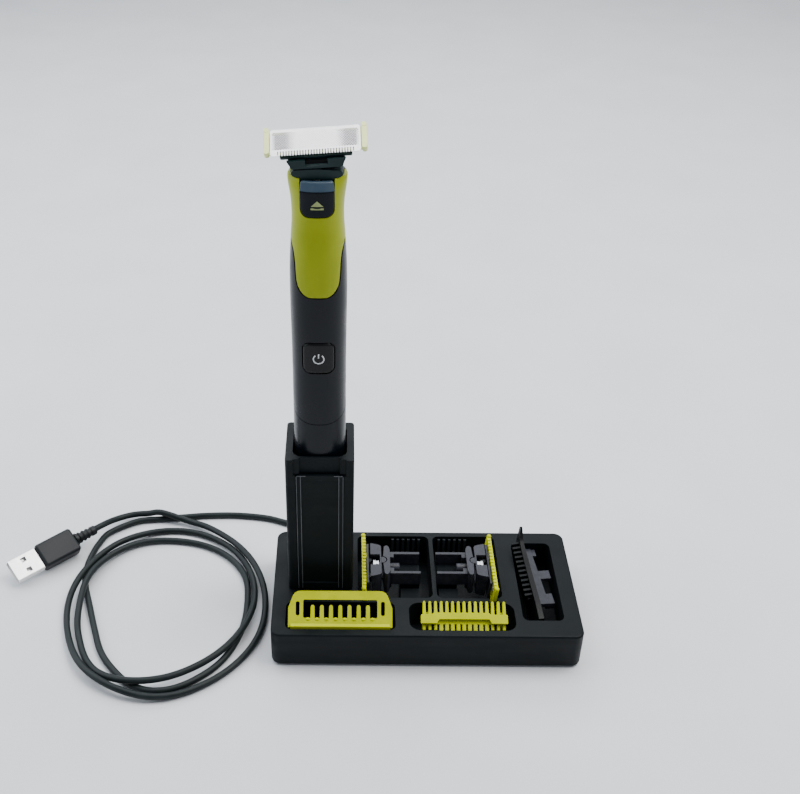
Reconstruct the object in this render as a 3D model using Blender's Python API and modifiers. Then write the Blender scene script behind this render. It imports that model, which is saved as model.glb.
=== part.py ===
"""Beard trimmer in its charging stand, with clip-on combs, spare blades and a USB lead.

Sizes below are millimetres; the helpers turn them into metres. +Z is up, +X is right and -Y is the
front. The origin is the middle of the stand's underside, on the surface that it stands on.
"""

import math

import bmesh
import bpy
from mathutils import Matrix, Vector

MM = 0.001
GAP = 0.3                                   # between pieces that touch

# Stand
STAND_LENGTH, STAND_DEPTH, STAND_TOP, STAND_BOTTOM = 142.0, 70.0, 20.0, 0.8
AXIS_X, AXIS_Y = -48.7, 8.2                 # upright axis of the trimmer and its tower
TOWER_HALF_WIDTH, TOWER_FRONT, TOWER_BACK, TOWER_TOP = 15.1, -6.2, 22.2, 97.2
WELL_FLOOR, WELL_HALF_WIDTH, WELL_FRONT, WELL_BACK = 49.7, 11.8, -2.9, 19.6
FEET = [(-63.0, -27.0), (63.0, -27.0), (-63.0, 27.0), (63.0, 27.0)]
POCKETS = {                                 # low x, low y, high x, high y, corner radius, floor
    "stubble": (-64.5, -31.2, -14.2, -14.0, 3.0, 6.0),
    "guard": (-7.8, -31.2, 40.8, -14.0, 5.0, 6.0),
    "spare_left": (-31.2, -11.0, 3.9, 31.5, 3.0, 3.6),
    "spare_right": (5.9, -11.0, 36.4, 31.5, 3.0, 3.6),
    "precision": (44.3, -24.8, 63.2, 27.0, 3.0, 5.0),
}

# Handle: height, half width, half depth
HANDLE_PROFILE = [
    (50.0, 10.9, 10.3), (62.0, 11.2, 10.5), (98.0, 11.3, 10.7), (120.0, 11.3, 10.7), (147.0, 11.3, 10.7),
    (169.0, 11.5, 10.8), (180.0, 11.5, 10.8), (190.0, 11.2, 10.6), (199.0, 10.6, 10.2), (206.0, 10.1, 9.9),
    (211.0, 10.1, 9.9), (216.0, 10.5, 10.1), (221.0, 11.2, 10.5), (224.5, 11.4, 10.7),
]
HANDLE_BOTTOM, HANDLE_TOP = 50.0, 224.5
SQUARENESS = 2.35                           # of the handle's section: 2 is an ellipse
WALL = 1.8
SEAM_Z, SEAM_SLOPE = 119.7, 29.5            # on the handle's axis, and degrees, lower at the front
BUTTON_Z, BUTTON_WIDTH, BUTTON_HEIGHT = 147.2, 13.0, 14.6
SLIDER_LOW, SLIDER_HIGH, SLIDER_WIDTH = 209.8, 224.0, 12.6
ARM_PIVOT_Z = 204.0
MOTOR_LOW, MOTOR_HIGH = 160.0, 184.0
ECCENTRIC = 1.0

# Blade cartridge, from the point where the handle's axis leaves the handle
CARTRIDGE_Z = 224.5
BLADE_LENGTH, BLADE_HEIGHT, BLADE_TILT = 38.4, 12.0, 30.0
BLADE_CENTRE = Vector((0.0, -2.0, 12.8))
ROLL_PIVOT_Z, HEAD_ROLL = 3.75, -4.3        # the head rolls about Y through this height
SPARE_TILT = 5.0                            # the spares' blades stand almost upright
ROCK_PIN_Z = -5.1                           # below the blade's face: the head rocks about this pin
TOOTH_PITCH, TEETH_PER_EDGE = 1.3, 20

# USB lead
CORD_RADIUS = 1.6
TURN_CENTRE = (-124.0, 3.0)
TURN_STEP = 30                              # degrees between the radii below
FIRST_ANGLE = 120
TURN_RADII = [
    64.0, 50.4, 38.2, 36.8, 44.5, 54.6, 49.8, 42.6, 39.2, 41.1, 42.5, 43.9,
    46.6, 44.9, 41.6, 44.3, 50.2, 48.4, 44.1, 42.0, 42.6, 44.6, 48.2, 51.7,
    51.8, 48.6, 47.4, 48.9, 54.0, 58.2, 55.0, 51.3, 48.1, 48.1, 51.8, 61.0,
]
CROSSINGS = [516, 614, 688, 862, 1170]      # winding angles at which the lead passes over itself
HUMP_HEIGHT, HUMP_REACH = 3.7, 45.0
LEAD_START = [
    (-48.7, 38.6, 7.6), (-48.8, 42.0, 7.4), (-49.4, 46.4, 6.6), (-51.2, 51.0, 5.0), (-54.8, 55.2, 3.2),
    (-60.4, 58.8, 2.0), (-69.0, 61.8, 1.65), (-79.3, 65.4, 1.65), (-95.1, 67.4, 1.65),
    (-110.7, 67.1, 1.65), (-122.3, 65.8, 1.65), (-135.3, 64.0, 1.65), (-147.5, 62.0, 1.65),
]
LEAD_END = [
    (-134.4, 66.6, 4.0), (-142.3, 67.4, 2.2), (-150.0, 66.4, 1.8), (-156.4, 62.8, 2.6), (-160.6, 57.9, 4.6),
    (-163.6, 53.4, 6.3),
]
PLUG_FRONT = (-191.2, 27.4, 6.7)            # where the metal shell leaves the plug's body
PLUG_YAW, PLUG_ROLL = 223.0, 30.0           # degrees: the way it points, and its lean on one edge
PLUG_BODY = (20.5, 13.2, 7.6)               # length, width, thickness
PLUG_SHELL = (15.0, 12.0, 4.5)
RELIEF_LENGTH = 12.0

FINISHES = {                                # colour, roughness, metallic
    "printed_black": ((0.016, 0.018, 0.022), 0.55, 0.0),
    "satin_black": ((0.018, 0.019, 0.023), 0.32, 0.0),
    "dark_green_black": ((0.020, 0.035, 0.038), 0.38, 0.0),
    "grey_black": ((0.075, 0.080, 0.088), 0.40, 0.0),
    "lime": ((0.52, 0.56, 0.035), 0.38, 0.0),
    "pale_lime": ((0.68, 0.74, 0.30), 0.38, 0.0),
    "steel": ((0.78, 0.78, 0.80), 0.25, 1.0),
    "rubber": ((0.022, 0.024, 0.025), 0.70, 0.0),
    "board_green": ((0.02, 0.16, 0.06), 0.45, 0.0),
    "battery_blue": ((0.05, 0.12, 0.32), 0.40, 0.0),
    "white_plastic": ((0.80, 0.80, 0.78), 0.45, 0.0),
}


# ---------------------------------------------------------------- helpers

def clear_scene():
    for old in list(bpy.data.objects):
        bpy.data.objects.remove(old, do_unlink=True)


def new_collection(name):
    made = bpy.data.collections.new(name)
    bpy.context.scene.collection.children.link(made)
    return made


def finish(name):
    found = bpy.data.materials.get(name)
    if found:
        return found
    colour, roughness, metallic = FINISHES[name]
    made = bpy.data.materials.new(name)
    made.use_nodes = True
    shader = made.node_tree.nodes["Principled BSDF"]
    shader.inputs["Base Color"].default_value = (*colour, 1.0)
    shader.inputs["Roughness"].default_value = roughness
    shader.inputs["Metallic"].default_value = metallic
    made.diffuse_color = (*colour, 1.0)
    return made


def add(name, data, material):
    """Puts data in the part, or with no material among the cutters."""
    made = bpy.data.objects.new(name, data)
    if material:
        data.materials.append(finish(material))
        PART.objects.link(made)
    else:
        CUTTERS.objects.link(made)
        made.hide_render = True
        made.display_type = "WIRE"
    return made


def from_bmesh(name, shape, material):
    mesh = bpy.data.meshes.new(name)
    shape.to_mesh(mesh)
    shape.free()
    return add(name, mesh, material)


def shade_round(made):
    made.data.shade_smooth()
    made.data.set_sharp_from_angle(angle=math.radians(40))


def box(name, low, high, material=None, place=None):
    shape = bmesh.new()
    bmesh.ops.create_cube(shape, size=1.0)
    low, high = Vector(low) * MM, Vector(high) * MM
    fit = Matrix.Translation((low + high) / 2) @ Matrix.Diagonal((*(high - low), 1.0))
    bmesh.ops.transform(shape, matrix=fit, verts=shape.verts)
    made = from_bmesh(name, shape, material)
    if place:
        made.matrix_world = place
    return made


def cylinder(name, start, end, radius, material=None, sides=20, end_radius=None, place=None):
    start, end = Vector(start) * MM, Vector(end) * MM
    along = end - start
    shape = bmesh.new()
    bmesh.ops.create_cone(shape, cap_ends=True, segments=sides, radius1=radius * MM, depth=along.length,
                          radius2=(radius if end_radius is None else end_radius) * MM)
    turn = along.to_track_quat("Z", "Y").to_matrix().to_4x4()
    bmesh.ops.transform(shape, matrix=Matrix.Translation((start + end) / 2) @ turn, verts=shape.verts)
    made = from_bmesh(name, shape, material)
    shade_round(made)
    if place:
        made.matrix_world = place
    return made


def outline(name, loops, low, high, place, material=None):
    """A flat outline with holes, from low to high along the Z of place, as a mesh."""
    curve = bpy.data.curves.new(name, "CURVE")
    curve.dimensions = "2D"
    curve.fill_mode = "BOTH"
    curve.extrude = (high - low) / 2 * MM
    curve.resolution_u = 1
    curve.render_resolution_u = 0
    for loop in loops:
        spline = curve.splines.new("POLY")
        spline.points.add(len(loop) - 1)
        for point, (x, y) in zip(spline.points, loop):
            point.co = (x * MM, y * MM, 0.0, 1.0)
        spline.use_cyclic_u = True
    guide = bpy.data.objects.new(name + "_outline", curve)
    CUTTERS.objects.link(guide)
    bpy.context.view_layer.update()
    mesh = bpy.data.meshes.new_from_object(guide.evaluated_get(bpy.context.evaluated_depsgraph_get()))
    bpy.data.objects.remove(guide, do_unlink=True)
    shape = bmesh.new()
    shape.from_mesh(mesh)
    bpy.data.meshes.remove(mesh)
    bmesh.ops.remove_doubles(shape, verts=shape.verts, dist=0.000002)
    bmesh.ops.dissolve_limit(shape, angle_limit=0.01, verts=shape.verts, edges=shape.edges)
    bmesh.ops.translate(shape, vec=(0, 0, (low + high) / 2 * MM), verts=shape.verts)
    bmesh.ops.recalc_face_normals(shape, faces=shape.faces)
    made = from_bmesh(name, shape, material)
    made.matrix_world = place
    return made


def loft(name, rings, material=None):
    """Joins rings of equal length, bottom to top, and closes both ends."""
    shape = bmesh.new()
    levels = [[shape.verts.new(point * MM) for point in ring] for ring in rings]
    for lower, upper in zip(levels, levels[1:]):
        for i in range(len(lower)):
            j = (i + 1) % len(lower)
            shape.faces.new((lower[i], lower[j], upper[j], upper[i]))
    shape.faces.new(list(reversed(levels[0])))
    shape.faces.new(levels[-1])
    bmesh.ops.recalc_face_normals(shape, faces=shape.faces)
    made = from_bmesh(name, shape, material)
    shade_round(made)
    return made


def tube(name, points, radius, material, resolution=2):
    curve = bpy.data.curves.new(name, "CURVE")
    curve.dimensions = "3D"
    curve.bevel_depth = radius * MM
    curve.bevel_resolution = resolution
    curve.resolution_u = 1
    curve.render_resolution_u = 0
    curve.use_fill_caps = True
    spline = curve.splines.new("POLY")
    spline.points.add(len(points) - 1)
    for point, place in zip(spline.points, points):
        point.co = (*(Vector(place) * MM), 1.0)
    return add(name, curve, material)


def combine(target, tool, operation, solver="EXACT"):
    step = target.modifiers.new(operation.lower(), "BOOLEAN")
    step.operation = operation
    step.solver = solver
    step.object = tool
    return target


def cut(target, *tools):
    for tool in tools:
        combine(target, tool, "DIFFERENCE")
    return target


def unite(target, *tools):
    for tool in tools:
        combine(target, tool, "UNION")
    return target


def bevel(target, width, segments=2, angle=50.0):
    step = target.modifiers.new("bevel", "BEVEL")
    step.width = width * MM
    step.segments = segments
    step.limit_method = "ANGLE"
    step.angle_limit = math.radians(angle)
    return target


def rounded_rectangle(low_x, low_y, high_x, high_y, radius, steps=4):
    corners = [(high_x - radius, high_y - radius, 0), (low_x + radius, high_y - radius, 90),
               (low_x + radius, low_y + radius, 180), (high_x - radius, low_y + radius, 270)]
    points = []
    for centre_x, centre_y, first in corners:
        for i in range(steps + 1):
            angle = math.radians(first + 90 * i / steps)
            points.append((centre_x + radius * math.cos(angle), centre_y + radius * math.sin(angle)))
    return points


def mirrored(half):
    """Closes a half outline, given from the middle outwards, across x = 0."""
    return half + [(-x, y) for x, y in reversed(half) if x > 0.001]


def at(x, y, z):
    return Matrix.Translation(Vector((x, y, z)) * MM)


FLAT = Matrix.Identity(4)
FACING_FRONT = Matrix.Rotation(math.radians(90), 4, "X")      # outline x, z; extrudes along -Y


def upright(x, z):
    """Place of an outline drawn in x and z, which extrudes towards -Y from the XZ plane."""
    return at(x, 0, z) @ FACING_FRONT


# ---------------------------------------------------------------- handle

def handle_size(z):
    """Half width and half depth of the handle at a height, eased between the profile's stations."""
    z = min(max(z, HANDLE_PROFILE[0][0]), HANDLE_PROFILE[-1][0])
    for lower, upper in zip(HANDLE_PROFILE, HANDLE_PROFILE[1:]):
        if z <= upper[0]:
            t = (z - lower[0]) / (upper[0] - lower[0])
            t = t * t * (3 - 2 * t)
            return lower[1] + t * (upper[1] - lower[1]), lower[2] + t * (upper[2] - lower[2])
    return HANDLE_PROFILE[-1][1:]


def handle_ring(z, inset, sides=36):
    width, depth = handle_size(z)
    ring = []
    for i in range(sides):
        angle = 2 * math.pi * i / sides
        c, s = math.cos(angle), math.sin(angle)
        x = math.copysign(abs(c) ** (2 / SQUARENESS), c) * (width - inset)
        y = math.copysign(abs(s) ** (2 / SQUARENESS), s) * (depth - inset)
        ring.append(Vector((AXIS_X + x, AXIS_Y + y, z)))
    return ring


def handle_loft(name, low, high, inset, material=None, round_low=0.0, round_high=0.0):
    stations = [z for z, _, _ in HANDLE_PROFILE if low + 2 < z < high - 2]
    rings = []
    if round_low:
        rings += [handle_ring(low, inset + round_low), handle_ring(low + round_low * 0.3, inset + round_low * 0.3)]
    rings += [handle_ring(z, inset) for z in [low + round_low] + stations + [high - round_high]]
    if round_high:
        rings += [handle_ring(high - round_high * 0.3, inset + round_high * 0.3),
                  handle_ring(high, inset + round_high)]
    return loft(name, rings, material)


def seam_cutter(name, above, gap):
    """A block that fills the handle above or below the oblique seam."""
    block = box(name, (-30, -30, gap) if above else (-30, -30, -160), (30, 30, 160) if above else (30, 30, -gap))
    turn = Matrix.Rotation(math.radians(SEAM_SLOPE), 4, "X")
    block.matrix_world = at(AXIS_X, AXIS_Y, SEAM_Z) @ turn
    return block


def panel_outline(grow):
    half = [(0, 175.4 - grow), (3.0, 175.6 - grow), (5.4, 176.6 - grow), (7.3, 178.5 - grow * 0.7),
            (8.4, 181.2), (8.8, 185.2), (8.9, 189.2), (9.5, 194.2), (10.6, 197.4), (14.0, 199.6)]
    half = [(x + (grow if x > 0 else 0), z) for x, z in half]
    return mirrored(half + [(14.0 + grow, 240.0)])


def slot_outline(half_width, low, high, radius=3.2):
    return rounded_rectangle(-half_width, low, half_width, high, radius)


def make_housings():
    main = handle_loft("main_housing", 100, HANDLE_TOP, 0, "satin_black", round_high=1.4)
    cut(main, seam_cutter("below_main", False, -GAP / 2))
    cavity = handle_loft("main_cavity", 95, HANDLE_TOP - 2.0, WALL)
    panel_pocket = outline("panel_pocket", [panel_outline(GAP)], -AXIS_Y - 2.3, 20, upright(AXIS_X, 0))
    cut(panel_pocket, handle_loft("panel_pocket_core", 150, HANDLE_TOP - 1.5, 1.5))
    neck_opening = box("neck_opening", (AXIS_X - 8.0, 0.0, 215), (AXIS_X + 8.0, 14.0, 230))
    slider_slot = outline("slider_slot", [slot_outline(SLIDER_WIDTH / 2 + GAP, SLIDER_LOW - GAP, 240)], -3.0, 12,
                          upright(AXIS_X, 0))
    button_hole = outline("button_hole", [slot_outline(
        BUTTON_WIDTH / 2 + GAP, BUTTON_Z - BUTTON_HEIGHT / 2 - GAP, BUTTON_Z + BUTTON_HEIGHT / 2 + GAP)],
        -3.0, 12, upright(AXIS_X, 0))
    cut(main, cavity, panel_pocket, neck_opening, slider_slot, button_hole)

    panel = outline("lime_panel", [panel_outline(0)], -AXIS_Y - 2, 20, upright(AXIS_X, 0), "lime")
    combine(panel, handle_loft("panel_outside", 150, HANDLE_TOP, 0, round_high=1.4), "INTERSECT")
    cut(panel, handle_loft("panel_inside", 140, HANDLE_TOP - 1.2, 1.2), slider_slot, neck_opening)

    lower = handle_loft("lower_housing", HANDLE_BOTTOM, 140, 0, "satin_black", round_low=1.6)
    cut(lower, seam_cutter("above_lower", True, -GAP / 2),
        handle_loft("lower_cavity", HANDLE_BOTTOM + 2.0, 150, WALL),
        box("socket_hole", (AXIS_X - 5.2, AXIS_Y - 3.4, 45), (AXIS_X + 5.2, AXIS_Y + 3.4, 56)))

    slider = outline("release_slider", [slot_outline(SLIDER_WIDTH / 2, SLIDER_LOW, SLIDER_HIGH)], 0.5, 12,
                     upright(AXIS_X, 0), "dark_green_black")
    combine(slider, handle_loft("slider_outside", 200, 235, -0.6), "INTERSECT")
    button = outline("power_button", [slot_outline(
        BUTTON_WIDTH / 2, BUTTON_Z - BUTTON_HEIGHT / 2, BUTTON_Z + BUTTON_HEIGHT / 2)], 0.2, 12,
        upright(AXIS_X, 0), "satin_black")
    combine(button, handle_loft("button_outside", 130, 165, -0.35), "INTERSECT")


def make_seam_seal():
    """Gasket ring inside the seam between the two housings."""
    ring = handle_loft("seam_seal", 104, 136, WALL + GAP, "rubber")
    cut(ring, handle_loft("seal_inside", 100, 140, WALL + GAP + 0.9),
        seam_cutter("above_seal", True, 1.2), seam_cutter("below_seal", False, 1.2))


def make_handle_inside():
    x, y = AXIS_X, AXIS_Y
    sides = [(8.0, 61.0), (8.0, 108.0), (6.6, 110.0), (6.6, 132.0), (8.0, 134.0), (8.0, 190.0)]
    outline("inner_chassis", [mirrored(sides), rounded_rectangle(-6.9, 63.0, 6.9, 108.5, 1.0),
                              rounded_rectangle(-7.1, 158.6, 7.1, 188.0, 1.0)],
            -y - 4.8, -y - 3.4, upright(x, 0), "grey_black")
    cylinder("battery_cell", (x, y + 1.6, 64), (x, y + 1.6, 108), 6.5, "battery_blue", 24)
    box("circuit_board", (x - 6.3, 1.6, 121), (x + 6.3, 2.8, 157), "board_green")
    box("power_switch", (x - 2.6, 0.5 + GAP, BUTTON_Z - 2.6), (x + 2.6, 1.3, BUTTON_Z + 2.6), "white_plastic")
    box("status_led", (x - 1.0, 0.1, 130.0), (x + 1.0, 1.3, 132.0), "white_plastic")
    socket = box("charge_socket", (x - 4.9, y - 3.1, 51.0), (x + 4.9, y + 3.1, 59.5), "rubber")
    cut(socket, box("socket_inside", (x - 3.8, y - 2.0, 49), (x + 3.8, y + 2.0, 57)))
    can = cylinder("motor_can", (x, y, MOTOR_LOW), (x, y, MOTOR_HIGH), 7.5, "steel", 28)
    cut(can, cylinder("motor_bore", (x, y, 176), (x, y, 190), 1.4, sides=12))
    rotor = cylinder("motor_rotor", (x, y, 177), (x, y, 187.5), 1.0, "steel", 12)
    pin_y = y - ECCENTRIC
    unite(rotor, cylinder("eccentric_disc", (x, y, 186), (x, y, 188.4), 3.0),
          cylinder("eccentric_pin", (x, pin_y, 187), (x, pin_y, 192.4), 0.9, sides=12))
    block = box("drive_block", (x - 6.4, 3.0, 199.6), (x + 6.4, 13.4, 207.4), "grey_black")
    cut(block, box("arm_slot", (x - 3.4, y - 2.4, 190), (x + 3.4, y + 2.4, 220)),
        cylinder("pin_bore", (x, -10, ARM_PIVOT_Z), (x, 30, ARM_PIVOT_Z), 1.3, sides=16))
    cylinder("arm_pin", (x, 3.2, ARM_PIVOT_Z), (x, 13.2, ARM_PIVOT_Z), 1.0, "steel", 16)
    tip = CARTRIDGE_Z + 9.4
    arm = box("drive_arm", (x - 1.0, y - 1.6, 193.0), (x + 1.0, y + 1.6, tip), "white_plastic")
    fork = box("arm_fork", (x - 3.3, y - 1.6, 188.8), (x + 3.3, y + 1.6, 195.0))
    hub = cylinder("arm_hub", (x, y - 1.6, ARM_PIVOT_Z), (x, y + 1.6, ARM_PIVOT_Z), 2.9, sides=20)
    unite(arm, fork, hub)
    cut(arm, box("fork_gap", (x - 2.2, y - 6, 185), (x + 2.2, y + 6, 193.4)),
        cylinder("hub_bore", (x, -10, ARM_PIVOT_Z), (x, 30, ARM_PIVOT_Z), 1.3, sides=16))
    cylinder("release_spring", (x, 2.6, 211.0), (x, 2.6, 217.0), 1.2, "steel", 12)
    for number, z in enumerate((120.0, 150.0)):
        shaft = cylinder(f"chassis_screw_{number + 1}", (x, y + 5.1, z), (x, y + 7.0, z), 1.0, "steel", 12)
        unite(shaft, cylinder(f"screw_head_{number + 1}", (x, y + 6.6, z), (x, y + 7.8, z), 1.9, sides=12))


# ---------------------------------------------------------------- blade cartridge

def head_matrix(place, roll, tilt=BLADE_TILT):
    """From the blade's own frame (along it, up across it, out of it) to the world, and the rolled
    cartridge frame."""
    pivot = at(0, 0, ROLL_PIVOT_Z)
    rolled = place @ pivot @ Matrix.Rotation(math.radians(roll), 4, "Y") @ pivot.inverted()
    tilt = Matrix.Rotation(math.radians(tilt), 4, "X")
    return rolled @ Matrix.Translation(BLADE_CENTRE * MM) @ tilt, rolled


def comb_outline(half_length, half_height, slot_depth):
    """A plate with a row of teeth along both long edges."""
    half_slot, half_row = TOOTH_PITCH * 0.24, TOOTH_PITCH * TEETH_PER_EDGE / 2
    edge = [(half_length, half_height - 1.0), (half_length - 1.0, half_height)]
    for i in range(TEETH_PER_EDGE + 1):
        x = half_row - i * TOOTH_PITCH
        edge += [(x + half_slot, half_height), (x + half_slot, half_height - slot_depth),
                 (x - half_slot, half_height - slot_depth), (x - half_slot, half_height)]
    edge += [(1.0 - half_length, half_height), (-half_length, half_height - 1.0)]
    return edge + [(-x, -y) for x, y in edge]


def make_cartridge(prefix, place, roll, tilt, clip_finish, frame_finish, detailed):
    """The blade and what carries it. Returns nothing; the pieces are named prefix + piece."""
    head, rolled = head_matrix(place, roll, tilt)

    clip = outline(prefix + "blade_clip", [mirrored([
        (0, 3.5), (9.6, 2.7), (9.8, 1.6), (8.9, 0.5), (7.3, 0.3), (7.3, -14.2), (5.8, -14.2), (5.8, -1.8),
        (0, -1.8)])], -5.3, 7.7, place @ FACING_FRONT, clip_finish)
    trims = [box(prefix + "arm_way", (-3.6, -3.4, -20), (3.6, 3.8, 20), place=place),
             box(prefix + "stem_front", (-9, -12, -30), (9, -3.8, -0.6), place=place),
             box(prefix + "stem_back", (-9, 3.4, -30), (9, 12, -0.6), place=place)]
    for end, (near, far) in {"front": (-9, -4.4), "back": (3.6, 9)}.items():
        trims.append(cylinder(prefix + "rocker_seat_" + end, (0, near, ROLL_PIVOT_Z), (0, far, ROLL_PIVOT_Z), 2.3,
                              sides=20, place=place))
    cut(clip, *trims)

    cradle = box(prefix + "blade_cradle", (-10.6, -7.4, 4.2), (10.6, 5.4, 14.0), clip_finish, rolled)
    sloped = box(prefix + "cradle_slope", (-20, -20, -4.0), (20, 20, 20), place=head)
    pocket = box(prefix + "cradle_pocket", (-6.6, -3.8, 0), (6.6, 3.8, 20), place=rolled)
    bores = cylinder(prefix + "pin_bores", (-8.6, 0, ROCK_PIN_Z), (8.6, 0, ROCK_PIN_Z), 1.2, sides=16, place=head)
    unite(cradle, cylinder(prefix + "rocker_front", (0, -7.2, ROLL_PIVOT_Z), (0, -4.7, ROLL_PIVOT_Z), 1.9,
                           sides=20, place=rolled),
          cylinder(prefix + "rocker_back", (0, 3.9, ROLL_PIVOT_Z), (0, 5.2, ROLL_PIVOT_Z), 1.9, sides=20,
                   place=rolled))
    cut(cradle, sloped, pocket, bores)

    base = box(prefix + "blade_base", (-13.4, -5.6, -3.0), (13.4, 5.0, -2.0), clip_finish, head)
    lugs = [box(f"{prefix}lug_{side}", (min(side * 4.1, side * 6.2), -1.6, -6.6),
                (max(side * 4.1, side * 6.2), 1.6, -2.5), place=head) for side in (-1, 1)]
    pins = [cylinder(f"{prefix}lug_pin_{side}", (side * 5.0, 0, ROCK_PIN_Z), (side * 8.1, 0, ROCK_PIN_Z), 0.85, sides=12,
                     place=head) for side in (-1, 1)]
    unite(base, *lugs, *pins)
    cut(base, box(prefix + "bridge_way", (-3.9, -2.6, -10), (3.9, 2.6, 5), place=head))

    half = BLADE_LENGTH / 2
    frame = outline(prefix + "blade_frame", [rounded_rectangle(-half, -5.2, half, 5.2, 0.8, 2),
                                             rounded_rectangle(-15.4, -3.7, 15.4, 3.7, 0.5, 2)],
                    -1.7, -0.65, head, frame_finish)
    bars = [outline(f"{prefix}end_bar_{side}", [rounded_rectangle(
        min(side * (half - 2.15), side * half), -5.6, max(side * (half - 2.15), side * half), 7.0, 0.9, 3)],
        -1.5, 0.3, head) for side in (-1, 1)]
    unite(frame, *bars)
    if not detailed:
        outline(prefix + "comb_plate", [rounded_rectangle(-16.7, -6.0, 16.7, 6.0, 0.6, 2)], -0.35, 0.0, head, "steel")
        return
    outline(prefix + "comb_plate", [comb_outline(16.7, BLADE_HEIGHT / 2, 1.5)], -0.35, 0.0, head, "steel")
    cutter = box(prefix + "cutter", (-14.0, -3.2, -1.3), (14.0, 3.2, -0.75), "steel", head)
    unite(cutter, box(prefix + "bridge", (-2.5, -2.0, -5.4), (2.5, 2.0, -1.0), place=head))
    cut(cutter, box(prefix + "bridge_slot", (-1.6, -6, -8), (1.6, 6, -1.8), place=head))


def make_blades():
    make_cartridge("", at(AXIS_X, AXIS_Y, CARTRIDGE_Z), HEAD_ROLL, BLADE_TILT, "dark_green_black",
                   "pale_lime", True)
    blade_z, blade_y = 20.4, 6.6
    for prefix, side, blade_x in (("spare_left_", -1, -28.6), ("spare_right_", 1, 33.2)):
        out = Vector((side, 0, 0))
        along = Vector((0, side, 0))
        stand = Matrix((along, (0, 0, 1), out)).transposed().to_4x4()
        place = at(blade_x, blade_y, blade_z) @ stand @ Matrix.Translation(-BLADE_CENTRE * MM)
        make_cartridge(prefix, place, 0.0, SPARE_TILT, "grey_black", "lime", False)


# ---------------------------------------------------------------- stand

def make_tray():
    half_length, half_depth = STAND_LENGTH / 2, STAND_DEPTH / 2
    tray = outline("stand_tray", [rounded_rectangle(-half_length, -half_depth, half_length, half_depth, 4.5)],
                   STAND_BOTTOM, STAND_TOP, FLAT, "printed_black")
    bevel(tray, 0.9, 2)
    for name, (low_x, low_y, high_x, high_y, radius, floor) in POCKETS.items():
        cut(tray, outline(name + "_pocket", [rounded_rectangle(low_x, low_y, high_x, high_y, radius)], floor, 30,
                          FLAT))
    cut(tray, box("cable_way_up", (AXIS_X - 2.6, AXIS_Y - 2.6, -2), (AXIS_X + 2.6, AXIS_Y + 2.6, 30)),
        box("cable_way_back", (AXIS_X - 2.6, AXIS_Y, 3.0), (AXIS_X + 2.6, 50, 11.6)),
        box("cover_recess", (-57.0, -10.8, -2), (-35.6, 31, 2.8)))
    for name, x in (("left_bar_bay", -27.3), ("right_bar_bay", 31.9)):
        cut(tray, box(name, (x - 2.1, -13.0, 14.0), (x + 2.1, -10.0, 30)))
    for name, x in (("left_post", -6.3), ("right_post", 11.7)):
        unite(tray, box(name, (x - 4.6, 2.2, 3.4), (x + 4.6, 11.0, 19.8)),
              box(name + "_step", (x - 4.6, -8.8, 3.4), (x + 4.6, -1.6, 16.8)))
    for x, y in FEET:
        cut(tray, cylinder("foot_recess", (x, y, -1), (x, y, 1.8), 5.3, sides=24))
    box("base_cover", (-56.6, -10.4, 1.0), (-36.0, 30.6, 2.5), "printed_black")
    for number, (x, y) in enumerate(FEET):
        cylinder(f"rubber_foot_{number + 1}", (x, y, 0.0), (x, y, 1.5), 5.0, "rubber", 24)


def make_tower():
    low, high = STAND_TOP + GAP, TOWER_TOP
    tower = box("stand_tower", (AXIS_X - TOWER_HALF_WIDTH, TOWER_FRONT, low),
                (AXIS_X + TOWER_HALF_WIDTH, TOWER_BACK, high), "printed_black")
    bevel(tower, 1.1, 2)
    well = outline("tower_well", [rounded_rectangle(-WELL_HALF_WIDTH, WELL_FRONT, WELL_HALF_WIDTH, WELL_BACK, 4.0)],
                   WELL_FLOOR, 110, at(AXIS_X, 0, 0))
    cut(tower, well,
        box("cover_bay", (AXIS_X - 10.7, -12, 0), (AXIS_X + 10.7, WELL_FRONT - 1.1, 120)),
        box("tower_cable_way", (AXIS_X - 4.3, AXIS_Y - 3.0, 0), (AXIS_X + 4.3, AXIS_Y + 3.0, 60)))
    cover = box("tower_front_cover", (AXIS_X - 10.4, TOWER_FRONT + 0.2, 20.6),
                (AXIS_X + 10.4, WELL_FRONT - 1.1 - GAP, 88.6), "printed_black")
    bevel(cover, 0.4, 1)
    cut(cover, box("cover_panel", (AXIS_X - 8.6, -12, 24), (AXIS_X + 8.6, TOWER_FRONT + 0.8, 86.6)))


def make_dock():
    x, y = AXIS_X, AXIS_Y
    plug = box("dock_plug", (x - 4.0, y - 2.7, 40.0), (x + 4.0, y + 2.7, 49.2), "rubber")
    unite(plug, box("dock_plug_tip", (x - 3.4, y - 1.6, 45.0), (x + 3.4, y + 1.6, 55.4)))
    route = [(x, y, 39.7), (x, y, 30.0), (x, y, 18.0), (x, y + 0.4, 12.6), (x, y + 1.8, 9.6),
             (x, y + 4.6, 8.0), (x, y + 9.0, 7.6), (x, 31.0, 7.6)]
    tube("dock_cable", route, CORD_RADIUS, "rubber")
    grommet = cylinder("cable_grommet", (x, 31.3, 7.6), (x, 38.0, 7.6), 2.3, "rubber", 20)
    unite(grommet, cylinder("grommet_collar", (x, 35.3, 7.6), (x, 36.6, 7.6), 3.4, sides=20))


# ---------------------------------------------------------------- combs

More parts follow.
